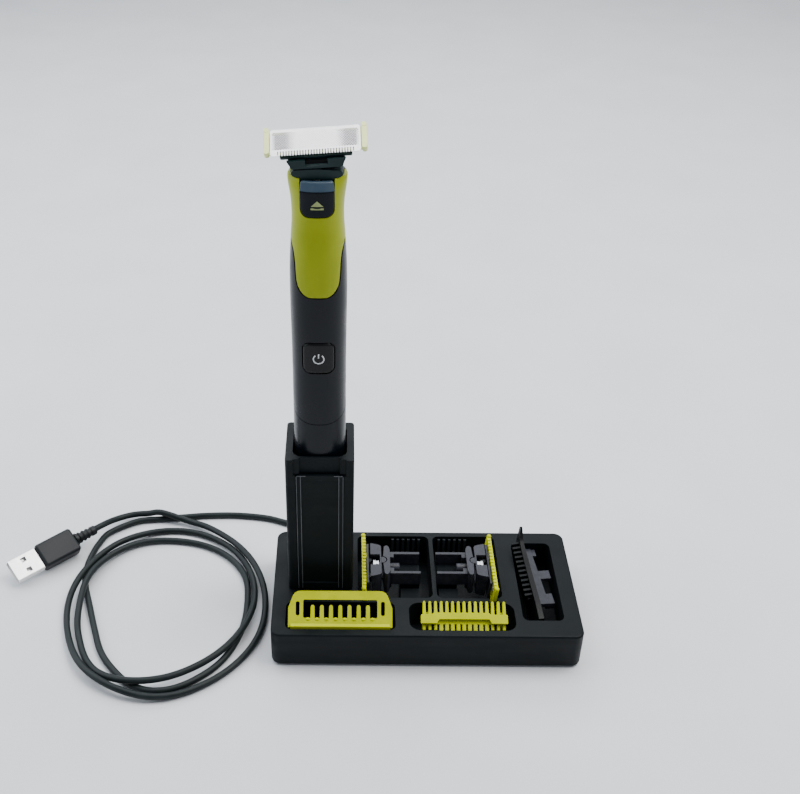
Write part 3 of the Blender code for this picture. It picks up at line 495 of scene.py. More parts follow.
def smooth(points, per_span):
    """Points along a smooth curve through the given ones."""
    knots = [np.array(p, float) for p in points]
    knots = [2 * knots[0] - knots[1]] + knots + [2 * knots[-1] - knots[-2]]
    curve = [catmull_rom(a, b, c, d, i / per_span)
             for a, b, c, d in zip(knots, knots[1:], knots[2:], knots[3:]) for i in range(per_span)]
    return np.array(curve + [knots[-2]])


def winding_point(angle):
    place = (angle - FIRST_ANGLE) / TURN_STEP
    i = min(max(int(place), 0), len(TURN_RADII) - 2)
    a, b, c, d = [TURN_RADII[min(max(i + k, 0), len(TURN_RADII) - 1)] for k in (-1, 0, 1, 2)]
    radius, turn = catmull_rom(a, b, c, d, place - i), math.radians(angle)
    x, y = TURN_CENTRE[0] + radius * math.cos(turn), TURN_CENTRE[1] + radius * math.sin(turn)
    return x, y, CORD_RADIUS + 0.05


def evenly(points, spacing):
    """The same path with points a fixed distance apart."""
    steps = np.linalg.norm(np.diff(points, axis=0), axis=1)
    along = np.concatenate([[0], np.cumsum(steps)])
    wanted = np.linspace(0, along[-1], int(along[-1] / spacing) + 1)
    return np.stack([np.interp(wanted, along, points[:, k]) for k in range(3)], axis=1)


def stacked(points, spacing, reach=45.0):
    """Lifts each stretch over those laid before it, in long low humps."""
    thick = 2 * CORD_RADIUS + 0.3
    skip, half = int(4 * thick / spacing), int(reach / spacing)
    hump = np.cos(np.linspace(-math.pi / 2, math.pi / 2, 2 * half + 1)) ** 2
    base, height = points[:, 2].copy(), points[:, 2].copy()
    for i in range(skip, len(points)):
        apart = np.linalg.norm(points[:i - skip, :2] - points[i, :2], axis=1)
        near = apart < thick
        if not near.any():
            continue
        under = height[:i - skip][near]
        need = (under + np.sqrt(thick ** 2 - apart[near] ** 2)).max() - base[i]
        if base[i] + need <= height[i]:
            continue
        first, last = max(i - half, 0), min(i + half + 1, len(points))
        shape = hump[first - (i - half):last - (i - half)]
        height[first:last] = np.maximum(height[first:last], base[first:last] + need * shape)
    eased = np.convolve(np.pad(height - base, 8, mode="edge"), np.ones(17) / 17, mode="valid")
    return np.column_stack([points[:, :2], base + eased])


def lead_route():
    """The lead's middle line, from the grommet to the plug's strain relief."""
    length = PLUG_BODY[0] + RELIEF_LENGTH + 0.6
    relief_end = tuple(PLUG @ Vector((-length * MM, 0, 0)) / MM)
    points = LEAD_START + [winding_point(angle) for angle in range(126, 1171, 8)] + LEAD_END + [relief_end]
    spacing = 1.5
    route = evenly(smooth(points, 6), spacing)
    lift = stacked(route, spacing)[:, 2] - route[:, 2]
    route[:, 1] -= LEAN * lift                  # the listed points lie flat
    return stacked(route, spacing)


def make_grommet():
    """Tapered, ribbed outlet behind the tray."""
    x, y, z = middle("cable_grommet")
    y0, y1 = low("cable_grommet")[1], high("cable_grommet")[1]
    profile = [(y0, 2.3), (y1 - 2.8, 2.3), (y1 - 2.7, 3.4), (y1 - 1.5, 3.4), (y1 - 1.4, 2.9), (y1, 2.4)]
    return turned("grommet", profile, at(x, 0, z) @ Matrix.Rotation(math.radians(-90), 4, "X"), "rubber")


def turned(name, profile, place, material, sides=40):
    """A solid of revolution about the Z of place; the profile is (height, radius)."""
    angles = [2 * math.pi * i / sides for i in range(sides)]
    rings = [[Vector((radius * math.cos(a), radius * math.sin(a), z)) for a in angles]
             for z, radius in profile]
    return placed(loft(name, rings, material), place)


def make_strain_relief():
    """Tapered sleeve with ribs and a thicker end where the lead enters the plug."""
    length, ribs, pitch = RELIEF_LENGTH, 3, 2.35
    profile = [(0.0, 3.3), (1.0, 3.25), (1.2, 2.35)]
    for i in range(ribs):
        start, radius = 1.9 + i * pitch, 2.95 - 0.12 * i
        profile += [(start, 2.3), (start + 0.2, radius - 0.12), (start + 0.6, radius),
                    (start + 1.1, radius - 0.12), (start + 1.3, 2.2)]
    profile += [(length - 2.9, 2.1), (length - 2.7, 2.55), (length - 0.5, 2.45), (length, 2.1)]
    place = PLUG @ at(-PLUG_BODY[0] - 0.3, 0, 0) @ Matrix.Rotation(math.radians(-90), 4, "Y")
    return turned("strain_relief", profile, place, "plug_rubber")


def make_plug():
    length, width, thickness = PLUG_BODY
    body = outline("plug_body", [rounded_rectangle(-length, -width / 2, 0, width / 2, 1.6)],
                   -thickness / 2, thickness / 2, PLUG, "plug_rubber")
    rounded(body, 1.5, 5)
    depth, shell_width, shell_height = PLUG_SHELL
    wall = 0.35
    half_width, half_height = shell_width / 2, shell_height / 2
    section = rounded_rectangle(-half_width, -half_height, half_width, half_height, 0.7, 4)
    shell = outline("plug_shell", [section], 0.3, depth, PLUG @ SIDE_ON, "plug_steel")
    inner_width, inner_height = half_width - wall, half_height - wall
    bore = rounded_rectangle(-inner_width, -inner_height, inner_width, inner_height, 0.45, 4)
    inside = outline("shell_inside", [bore], 1.2, depth + 4, PLUG @ SIDE_ON)
    windows = [box(f"window_{side}_{face}", (6.3, side * 2.95 - 1.15, face * half_height - 0.6),
                   (8.9, side * 2.95 + 1.15, face * half_height + 0.6), place=PLUG)
               for side in (-1, 1) for face in (-1, 1)]
    cut(shell, inside, *windows)
    rounded(shell, 0.12, 2)

    tongue = box("plug_tongue", (1.5, -5.2, -1.7), (depth - 0.7, 5.2, 0.1), "white_plastic", PLUG)
    rounded(tongue, 0.15, 2)
    strips = [box(f"contact_{i}", (depth - (9.0 if abs(y) < 2 else 8.0), y - 0.55, 0.12),
                  (depth - 1.6, y + 0.55, 0.22), place=PLUG) for i, y in enumerate((-3.5, -1.1, 1.1, 3.5))]
    contacts = join("plug_contacts", strips, "plug_steel")
    return body, shell, tongue, contacts


def make_lead():
    route = lead_route()
    lead = line("lead", route, CORD_RADIUS, "rubber")
    grommet, relief = make_grommet(), make_strain_relief()
    body, shell, tongue, contacts = make_plug()
    show(grommet, "stand", "rubber", "cable_grommet")
    show(relief, "stand", "rubber", "usb_strain_relief")
    show(body, "stand", "rubber", "usb_plug_body")
    show(shell, "stand", "steel", "usb_plug_shell")
    show(tongue, "stand", "white_plastic", "usb_plug_tongue")
    show(contacts, "stand", "steel")
    show(lead, "stand", "rubber", "usb_cable_lead", "usb_cable_coil", "usb_cable_tail")


# ------ handle

# height, half width, half depth
HANDLE_PROFILE = np.array([
    (50.0, 10.9, 10.3), (62.0, 11.2, 10.5), (98.0, 11.3, 10.7), (120.0, 11.3, 10.7), (147.0, 11.3, 10.7),
    (169.0, 11.5, 10.8), (180.0, 11.5, 10.8), (190.0, 11.2, 10.6), (199.0, 10.6, 10.2), (206.0, 10.1, 9.9),
    (211.0, 10.1, 9.9), (216.0, 10.5, 10.1), (221.0, 11.2, 10.5), (224.5, 11.4, 10.7),
])
HANDLE_BOTTOM, HANDLE_TOP = 50.0, 224.5
SQUARENESS = 2.35                           # of the handle's section: 2 is an ellipse
WALL = 1.8
SEAM_Z, SEAM_SLOPE = 119.7, 29.5
BUTTON_Z, BUTTON_WIDTH, BUTTON_HEIGHT = 147.2, 13.0, 14.6
SLIDER_LOW, SLIDER_HIGH, SLIDER_WIDTH = 209.8, 224.0, 12.6
RIDGE_Z = 220.6                             # above it the handle's front slopes back
GAP = 0.3


def handle_size(z):
    """Half width and half depth of the handle at a height, on a smooth curve through the profile."""
    heights = HANDLE_PROFILE[:, 0]
    z = min(max(z, heights[0]), heights[-1])
    i = min(int(np.searchsorted(heights, z, side="right")) - 1, len(heights) - 2)
    sizes = HANDLE_PROFILE[:, 1:]
    slopes = np.gradient(sizes, heights, axis=0)
    step = heights[i + 1] - heights[i]
    t = (z - heights[i]) / step
    return ((2 * t ** 3 - 3 * t * t + 1) * sizes[i] + (t ** 3 - 2 * t * t + t) * step * slopes[i]
            + (3 * t * t - 2 * t ** 3) * sizes[i + 1] + (t ** 3 - t * t) * step * slopes[i + 1])


def handle_point(z, angle, rise=0.0):
    """A point on the handle; the angle runs from the front, towards +X."""
    width, depth = handle_size(z)
    s, c = math.sin(angle), -math.cos(angle)
    x = math.copysign(abs(s) ** (2 / SQUARENESS), s) * width
    y = math.copysign(abs(c) ** (2 / SQUARENESS), c) * depth
    if y < 0 and z > RIDGE_Z:
        y *= 1 - 0.12 * (z - RIDGE_Z) / (HANDLE_TOP - RIDGE_Z)
    out = Vector((math.copysign(abs(x / width) ** (SQUARENESS - 1), x) / width,
                  math.copysign(abs(y / depth) ** (SQUARENESS - 1), y) / depth, 0)).normalized()
    return Vector((AXIS_X + x, AXIS_Y + y, z)) + out * rise


def handle_loft(name, start, end, rise, material=None, round_low=0.0, round_high=0.0, sides=72, step=2.5):
    count = max(int((end - start) / step), 2)
    levels = [(start + (end - start) * i / count, rise) for i in range(count + 1)]
    arc = [i * math.pi / 12 for i in range(7)]
    if round_low:
        foot = [(start + round_low * (1 - math.sin(a)), rise - round_low * (1 - math.cos(a)))
                for a in reversed(arc)]
        levels = foot + [level for level in levels if level[0] > start + round_low]
    if round_high:
        head = [(end - round_high * (1 - math.sin(a)), rise - round_high * (1 - math.cos(a))) for a in arc]
        levels = [level for level in levels if level[0] < end - round_high] + head
    rings = [[handle_point(z, 2 * math.pi * i / sides, out) for i in range(sides)] for z, out in levels]
    return loft(name, rings, material)


def seam_cutter(name, above, gap):
    """A block with one face on the oblique seam, above it or below it."""
    low_z, high_z = (gap, 160) if above else (-160, -gap)
    place = at(AXIS_X, AXIS_Y, SEAM_Z) @ Matrix.Rotation(math.radians(SEAM_SLOPE), 4, "X")
    return box(name, (-30, -30, low_z), (30, 30, high_z), place=place)


def wrap_angle(z, half_width, back=0.0):
    """How far round from the front a half width reaches, or round to back millimetres behind the axis."""
    width, depth = handle_size(z)
    if half_width >= width:
        return math.pi / 2 + math.asin((back / depth) ** (SQUARENESS / 2))
    return math.asin((half_width / width) ** (SQUARENESS / 2))


def wrapped(name, rows, rise, depth, edge, material=None, back=0.0, columns=28):
    """A sheet that follows the handle's front. Rows are (height, half width); rise may depend on height.
    Its edge is rounded by edge, and it reaches depth below the handle's surface."""
    lift = rise if callable(rise) else (lambda z: rise)
    start, end = rows[0][0], rows[-1][0]
    inner = [1 - 2 * i / columns for i in range(1, columns)]
    across = sorted([-1, -0.992, -0.975, -0.95, 0.95, 0.975, 0.992, 1] + [s for s in inner if abs(s) < 0.94])
    front, rear = [], []
    for z, half_width in rows:
        reach = wrap_angle(z, half_width, back)
        radius = sum(handle_size(z)) / 2
        front_row, rear_row = [], []
        for s in across:
            away = min((1 - abs(s)) * reach * radius, z - start, end - z)
            drop = edge - math.sqrt(max(edge ** 2 - (edge - away) ** 2, 0)) if away < edge else 0.0
            front_row.append(handle_point(z, s * reach, lift(z) - drop))
            rear_row.append(handle_point(z, s * reach, -depth))
        front.append(front_row)
        rear.append(rear_row)
    shape = bmesh.new()
    grids = [[[shape.verts.new(p * MM) for p in row] for row in grid] for grid in (front, rear)]
    for grid in grids:
        for a, b in zip(grid, grid[1:]):
            for i in range(len(across) - 1):
                shape.faces.new((a[i], a[i + 1], b[i + 1], b[i]))
    outside, inside = [g[0] + [row[-1] for row in g[1:-1]] + list(reversed(g[-1]))
                       + [row[0] for row in reversed(g[1:-1])] for g in grids]
    for i in range(len(outside)):
        j = (i + 1) % len(outside)
        shape.faces.new((outside[i], outside[j], inside[j], inside[i]))
    bmesh.ops.recalc_face_normals(shape, faces=shape.faces)
    return from_bmesh(name, shape, material)


def rounded_rows(start, end, half_width, radius_low, radius_high, step=0.8):
    """Rows of a rounded rectangle, closer together in its corners."""
    rows = []
    for i in range(7):
        a = i / 6 * math.pi / 2
        rows.append((start + radius_low * (1 - math.cos(a)), half_width - radius_low * (1 - math.sin(a))))
    count = max(int((end - radius_high - start - radius_low) / step), 1)
    rows += [(start + radius_low + (end - radius_high - start - radius_low) * i / count, half_width)
             for i in range(1, count)]
    for i in range(7):
        a = (6 - i) / 6 * math.pi / 2
        rows.append((end - radius_high * (1 - math.cos(a)), half_width - radius_high * (1 - math.sin(a))))
    return rows


def panel_rows(grow):
    """Half widths of the lime panel, up its height."""
    shape = [(175.4, 2.6), (175.6, 3.9), (176.2, 5.2), (177.0, 6.25), (178.2, 7.2), (180.0, 8.1),
             (182.0, 8.55), (185.2, 8.8), (189.2, 8.95), (192.0, 9.2), (194.2, 9.5), (196.0, 9.95),
             (197.2, 10.35), (198.0, 14.0)]
    shape += [(198.0 + (RIDGE_Z - 198.0) * i / 14, 14.0) for i in range(1, 15)]
    shape += [(RIDGE_Z + (HANDLE_TOP - RIDGE_Z) * i / 4, 14.0) for i in range(1, 5)]
    foot = 180.0                                # the panel's rounded lower end is below this height

    def moved(z):
        if z < foot:
            return z - grow
        return z + grow if z == HANDLE_TOP else z

    return [(moved(z), half_width + grow) for z, half_width in shape]


def slider_rise(z):
    """The slider's face leans out to a ridge, and slopes back above it."""
    low_rise, ridge_rise = 0.15, 0.9
    if z < RIDGE_Z:
        return low_rise + (ridge_rise - low_rise) * (z - SLIDER_LOW) / (RIDGE_Z - SLIDER_LOW)
    return ridge_rise * (1 - (z - RIDGE_Z) / (SLIDER_HIGH - RIDGE_Z))


def make_handle():
    half_width = SLIDER_WIDTH / 2 + GAP
    slot = outline("slider_slot", [rounded_rectangle(-half_width, SLIDER_LOW - GAP, half_width, 240, 3.2)],
                   -3.0, 12, upright(AXIS_X, 0))
    panel_slot = slot.copy()
    panel_slot.data = slot.data.copy()
    bpy.context.scene.collection.objects.link(panel_slot)
    neck = [box(f"neck_{i}", (AXIS_X - 8.0, 2.0, 215), (AXIS_X + 8.0, 14.0, 230)) for i in range(2)]

    main = handle_loft("housing_upper", 100, HANDLE_TOP, 0, "satin_black", round_high=1.4)
    pocket = wrapped("panel_pocket", panel_rows(GAP), 3.0, 1.5, 0.01, back=2.0 + GAP)
    half_width, half_height = BUTTON_WIDTH / 2 + GAP, BUTTON_HEIGHT / 2 + GAP
    opening = rounded_rectangle(-half_width, -half_height, half_width, half_height, 3.4)
    hole = outline("button_hole", [opening], -3.0, 12, upright(AXIS_X, BUTTON_Z))
    cut(main, seam_cutter("below_main", False, -GAP / 2),
        handle_loft("main_cavity", 95, HANDLE_TOP - 2.0, -WALL, sides=36), pocket, neck[0], slot, hole)
    show(main, "handle", "satin_black", "main_housing")

    lower = handle_loft("housing_lower", HANDLE_BOTTOM, 140, 0, "satin_black", round_low=1.6)
    cut(lower, seam_cutter("above_lower", True, -GAP / 2),
        handle_loft("lower_cavity", HANDLE_BOTTOM + 2.0, 150, -WALL, sides=36),
        box("socket_hole", (AXIS_X - 5.2, AXIS_Y - 3.4, 45), (AXIS_X + 5.2, AXIS_Y + 3.4, 56)))
    show(lower, "handle", "satin_black", "lower_housing")

    panel = wrapped("front_panel", panel_rows(0), 0.05, 1.2, 0.55, "panel_lime", back=2.0)
    cut(panel, panel_slot, neck[1])
    show(panel, "handle", "lime", "lime_panel")

    slider = wrapped("eject_slider", rounded_rows(SLIDER_LOW, SLIDER_HIGH, SLIDER_WIDTH / 2, 3.2, 0.6, 0.5),
                     slider_rise, 1.3, 0.5, "navy_black")
    # The faces above the ridge get a lighter copy of the slider's colour: a painted highlight for the light
    # that the back-sloping top facet catches.
    slider.data.materials.append(MATERIALS["slider_top"])
    for face in slider.data.polygons:
        face.material_index = int(face.center.z > RIDGE_Z * MM)
    show(slider, "slider", "dark_green_black", "release_slider")
    key_rows = rounded_rows(BUTTON_Z - BUTTON_HEIGHT / 2, BUTTON_Z + BUTTON_HEIGHT / 2, BUTTON_WIDTH / 2,
                            3.2, 3.2, 0.6)
    button = wrapped("power_key", key_rows, 0.35, 2.4, 0.9, "button_black")
    show(button, "button", "satin_black", "power_button")
    make_symbols()


def on_front(x, z, rise):
    """A point on the handle's front, at x from its middle."""
    return handle_point(z, math.copysign(wrap_angle(z, abs(x)), x), rise)


def make_symbols():
    """Raised marks: a broken ring with a stroke on the key, a triangle over a bar on the slider."""
    ring = [on_front(2.1 * math.sin(a), BUTTON_Z + 2.1 * math.cos(a), 0.36)
            for a in [math.radians(38 + 284 * i / 36) for i in range(37)]]
    arc = line("power_ring", ring, 0.26, "symbol_white")
    upright_line = [on_front(0.001, BUTTON_Z + z, 0.36) for z in (0.5, 1.3, 2.5)]
    stroke = line("power_stroke", upright_line, 0.26, "symbol_white")
    show(arc, "button", "white_plastic")
    show(stroke, "button", "white_plastic")

    def flat_mark(name, low_z, corners):
        """A thin mark on the slider; its corners are (x, height above low_z)."""
        shape = bmesh.new()
        places = [(x if abs(x) > 0.001 else 0.001, low_z + z) for x, z in corners]
        levels = [[shape.verts.new(on_front(x, z, slider_rise(z) + lift) * MM) for x, z in places]
                  for lift in (-0.2, 0.09)]
        shape.faces.new(levels[1])
        shape.faces.new(list(reversed(levels[0])))
        for i in range(len(corners)):
            j = (i + 1) % len(corners)
            shape.faces.new((levels[0][i], levels[0][j], levels[1][j], levels[1][i]))
        bmesh.ops.recalc_face_normals(shape, faces=shape.faces)
        return from_bmesh(name, shape, "symbol_lime")

    triangle = flat_mark("eject_triangle", 214.6,
                         [(-2.3, 0), (0, 0), (2.3, 0), (1.15, 1.2), (0, 2.4), (-1.15, 1.2)])
    bar = flat_mark("eject_bar", 213.2, [(-2.4, 0), (0, 0), (2.4, 0), (2.4, 0.75), (0, 0.75), (-2.4, 0.75)])
    show(triangle, "slider", "lime")
    show(bar, "slider", "lime")


# ------ blade cartridges

CARTRIDGE_Z = HANDLE_TOP
BLADE_LENGTH, BLADE_HEIGHT, BLADE_TILT, SPARE_TILT = 38.4, 12.0, 30.0, 5.0
BLADE_CENTRE = Vector((0.0, -2.0, 12.8))
ROLL_PIVOT_Z, HEAD_ROLL = 3.75, -4.3
ROCK_PIN_Z = -5.1


def head_matrix(place, roll, tilt_degrees):
    pivot = at(0, 0, ROLL_PIVOT_Z)
    rolled = place @ pivot @ Matrix.Rotation(math.radians(roll), 4, "Y") @ pivot.inverted()
    tilt = Matrix.Rotation(math.radians(tilt_degrees), 4, "X")
    return rolled @ Matrix.Translation(BLADE_CENTRE * MM) @ tilt, rolled


def comb_loops(half_length, half_height, teeth, pitch):
    """A plate with deep teeth along its front edge, shallow ones behind, and diamond holes between.
    The holes are largest at both ends."""
    half_row = pitch * teeth / 2

    def toothed(side, depth, half_slot):
        points = []
        for i in range(teeth + 1):
            x = half_row - i * pitch
            points += [(x + half_slot, half_height), (x + half_slot * 0.8, half_height - depth),
                       (x - half_slot * 0.8, half_height - depth), (x - half_slot, half_height)]
        corner = [(half_length, half_height - 0.8), (half_length - 0.8, half_height)]
        points = corner + points + [(0.8 - half_length, half_height), (-half_length, half_height - 0.8)]
        return [(side * x, side * y) for x, y in points]

    loops = [toothed(1, 0.45, 0.14) + toothed(-1, 2.0, 0.27)]
    step_x, step_y, reach_x, reach_y = 0.98, 0.56, 15.9, 3.55
    for row in range(-int(reach_y / step_y), int(reach_y / step_y) + 2):
        shift = step_x / 2 if row % 2 else 0.0
        for column in range(-int(reach_x / step_x), int(reach_x / step_x) + 1):
            x, y = column * step_x + shift, row * step_y + 0.4
            size = 0.42 + 0.73 * min(max((abs(x) - 7.0) / 4.0, 0.0), 1.0)
            along, across = 0.40 * size, 0.34 * size
            if abs(x) < reach_x:
                loops.append([(x + along, y), (x, y + across), (x - along, y), (x, y - across)])
    return loops


def end_bars(prefix, half, low_y, high_y, low_z, high_z, head):
    """The bars across both ends of a blade, and the middle of each along the blade."""
    bars, middles = [], []
    for side in (-1, 1):
        near, far = sorted((side * (half - 2.15), side * half))
        bar = outline(f"{prefix}bar_{side}", [rounded_rectangle(near, low_y, far, high_y, 0.95, 5)],
                      low_z, high_z, head)
        bars.append(rounded(bar, 0.4, 3))
        middles.append((near + far) / 2)
    return bars, middles


def make_working_frame(prefix, half, head, finish):
    rims = [rounded_rectangle(-half, -4.3, half, 5.2, 0.8, 4),
            rounded_rectangle(-16.5, -3.9, 16.5, 4.6, 0.5, 3)]
    edges = outline(prefix + "frame", rims, -1.7, -0.65, head, finish)
    bars, middles = end_bars(prefix, half, -4.9, 7.0, -1.5, 0.3, head)
    knobs = [cylinder(f"{prefix}knob_{x:.0f}_{end}", (x, y, -2.2), (x, y, 0.42), 1.0, place=head)
             for x in middles for end, y in enumerate((-3.9, 5.9))]
    return unite(edges, *bars, *knobs)


def make_spare_frame(prefix, half, head, finish):
    """A frame that hides the plate's edge, with small beads along it and a round knob at each end."""
    rims = [rounded_rectangle(-half, -6.0, half, 6.0, 0.8, 4),
            rounded_rectangle(-15.6, -3.7, 15.6, 3.7, 0.5, 3)]
    edges = outline(prefix + "frame", rims, -1.6, 0.15, head, finish)
    bars, middles = end_bars(prefix, half, -5.6, 6.3, -1.5, 0.2, head)
    knobs = [ball(f"{prefix}knob_{x:.0f}_{end}", (x, y, -0.65), (1.1, 1.0, 1.1), place=head)
             for x in middles for end, y in enumerate((-4.6, 6.0))]
    beads = [box(f"{prefix}bead_{i}", (x - 0.55, 5.5, -1.75), (x + 0.55, 6.45, -0.5), place=head)
             for i, x in enumerate(2.2 * k - 15.4 for k in range(15))]
    return unite(edges, *bars, *knobs, *beads)


def make_blade(prefix, place, roll, body_of, clip_finish, frame_finish, frame_slot, working):
    """A cartridge: the clip that enters the handle, the cradle that rolls in it, and the blade."""
    head, rolled = head_matrix(place, roll, BLADE_TILT if working else SPARE_TILT)
    dark_slot = "dark_green_black" if working else "grey_black"

    clip = outline(prefix + "clip", [mirrored([
        (0, 3.5), (8.9, 2.9), (9.6, 2.2), (9.75, 1.5), (9.3, 0.9), (8.4, 0.4), (7.3, 0.3), (7.3, -14.2),
        (5.8, -14.2), (5.8, -1.8), (0, -1.8)])], -5.3, 6.9, place @ FACING_FRONT, clip_finish)
    trims = [box(prefix + "arm_way", (-3.6, -3.4, -20), (3.6, 3.8, 20), place=place),
             box(prefix + "stem_front", (-9, -12, -30), (9, -3.8, -0.6), place=place),
             box(prefix + "stem_back", (-9, 3.4, -30), (9, 12, 0.1), place=place)]
    trims += [box(f"{prefix}lip_{x}", (x - 1.8, -12, -2), (x + 1.8, -3.7, 0.1), place=place)
              for x in (-8.2, 8.2)]
    for end, (near, far) in {"front": (-6.3, -4.4), "back": (3.6, 9)}.items():
        trims.append(cylinder(prefix + "seat_" + end, (0, near, ROLL_PIVOT_Z), (0, far, ROLL_PIVOT_Z), 2.3,
                              place=place))
    cut(clip, *trims)
    rounded(clip, 0.3, 2)
    show(clip, body_of["clip"], dark_slot, prefix + "blade_clip")

    cradle = outline(prefix + "cradle", [mirrored([
        (0, 4.2), (8.9, 4.2), (9.8, 4.7), (10.3, 5.8), (11.1, 8.6), (11.3, 14.0), (0, 14.0)])],
        -5.4, 7.4, rolled @ FACING_FRONT, clip_finish)
    rockers = [cylinder(f"{prefix}rocker_{near}", (0, near, ROLL_PIVOT_Z), (0, far, ROLL_PIVOT_Z), 1.9,
                        place=rolled) for near, far in ((-6.1, -4.7), (3.9, 5.2))]
    unite(cradle, *rockers)
    cut(cradle, box(prefix + "slope", (-20, -20, -4.0), (20, 20, 20), place=head))
    if working:
        cheek = ((4.2, 5.0), (9.7, 5.0), (10.2, 5.8), (11.0, 7.4), (4.2, 7.4))
        unite(cradle, *[outline(f"cheek_{side}", [[(side * x, z) for x, z in cheek]], 5.95, 7.37,
                                rolled @ FACING_FRONT) for side in (-1, 1)])
    rounded(cradle, 0.25, 2)
    cut(cradle, box(prefix + "pocket", (-6.6, -3.8, 0), (6.6, 3.8, 20), place=rolled),
        cylinder(prefix + "pin_bores", (-8.6, 0, ROCK_PIN_Z), (8.6, 0, ROCK_PIN_Z), 1.2, place=head))
    if not working:
        cut(cradle, box(prefix + "back_gap", (-3.4, 0, 4.9), (3.4, 9, 20), place=rolled))
    show(cradle, body_of["cradle"], dark_slot, prefix + "blade_cradle")
    if working:
        # A dark sheet behind the cradle's window: painted shade for the shadow inside it.
        shade = box("painted_window_shadow", (-4.4, -6.4, 4.9), (4.4, -5.7, 7.0), "deep_black", rolled)
        show(shade, body_of["cradle"], dark_slot)
    else:
        leaf = mirrored([(0, 5.4), (1.3, 5.4), (0.8, 6.6), (1.7, 7.2), (1.7, 8.0), (0, 8.0)])
        spring = outline(prefix + "leaf", [leaf], -3.4, -2.6, rolled @ FACING_FRONT, "steel")
        sleeve = cylinder(prefix + "sleeve", (0, 0, -4.6), (0, 0, 1.2), 2.3, "grey_black", place=place)
        rounded(sleeve, 0.5, 3)
        show(spring, body_of["cradle"], "steel")
        show(sleeve, body_of["clip"], dark_slot)

    bridge_way = [(-3.9, -2.6), (3.9, -2.6), (3.9, 2.6), (-3.9, 2.6)]
    base = outline(prefix + "base", [rounded_rectangle(-13.4, -5.6, 13.4, 5.0, 0.6, 3), bridge_way],
                   -3.05, -2.0, head, clip_finish)
    rounded(base, 0.4, 2)
    lugs = [box(f"{prefix}lug_{x}", (x - 1.05, -1.6, -6.6), (x + 1.05, 1.6, -2.6), place=head)
            for x in (-5.15, 5.15)]
    pins = [cylinder(f"{prefix}pin_{side}", (side * 5.0, 0, ROCK_PIN_Z), (side * 8.1, 0, ROCK_PIN_Z), 0.85,
                     sides=20, place=head) for side in (-1, 1)]
    unite(base, *lugs, *pins)
    show(base, body_of["head"], dark_slot, prefix + "blade_base")

    half = BLADE_LENGTH / 2
    make_frame = make_working_frame if working else make_spare_frame
    edges = make_frame(prefix, half, head, frame_finish)
    show(edges, body_of["head"], frame_slot, prefix + "blade_frame")

    plate_half = BLADE_HEIGHT / 2 if working else BLADE_HEIGHT / 2 - 0.6
    plate = outline(prefix + "foil", comb_loops(16.7, plate_half, 27, 1.03), -0.18, 0.0, head, "blade_steel")
    show(plate, body_of["head"], "steel", prefix + "comb_plate")
    if working:
        cutter = box("moving_cutter", (-15.2, -3.5, -1.3), (15.2, 4.2, -0.75), "dark_steel", head)
        unite(cutter, box("bridge", (-2.5, -2.0, -5.4), (2.5, 2.0, -1.0), place=head))
        cut(cutter, box("bridge_slot", (-1.6, -6, -8), (1.6, 6, -1.8), place=head))
        show(cutter, body_of["cutter"], "steel", "cutter")


def make_blades():
    make_blade("", at(AXIS_X, AXIS_Y, CARTRIDGE_Z), HEAD_ROLL,
               {"clip": "cartridge", "cradle": "cradle", "head": "head", "cutter": "cutter"},
               "dark_green_black", "pale_lime", "pale_lime", True)
    blade_z, blade_y = 20.4, 6.6
    for side, blade_x in ((-1, -28.6), (1, 33.2)):
        name = "spare_left" if side < 0 else "spare_right"
        stand = Matrix(((0, side, 0), (0, 0, 1), (side, 0, 0))).transposed().to_4x4()
        place = at(blade_x, blade_y, blade_z) @ stand @ Matrix.Translation(-BLADE_CENTRE * MM)
        make_blade(name + "_", place, 0.0, {"clip": name, "cradle": name, "head": name},
                   "grey_black", "lime", "lime", False)


# ------ stand

POCKETS = {                                 # low x, low y, high x, high y, corner radius, floor
    "stubble": (-64.5, -31.2, -14.2, -14.0, 3.0, 6.0),
    "guard": (-7.8, -31.2, 40.8, -14.0, 5.0, 6.0),
    "spare_left": (-31.2, -11.0, 3.9, 31.5, 3.0, 3.6),
    "spare_right": (5.9, -11.0, 36.4, 31.5, 3.0, 3.6),
    "precision": (44.3, -24.8, 63.2, 27.0, 3.0, 5.0),
}
WELL_FLOOR, WELL_HALF_WIDTH, WELL_FRONT, WELL_BACK = 49.7, 11.8, -2.9, 19.6


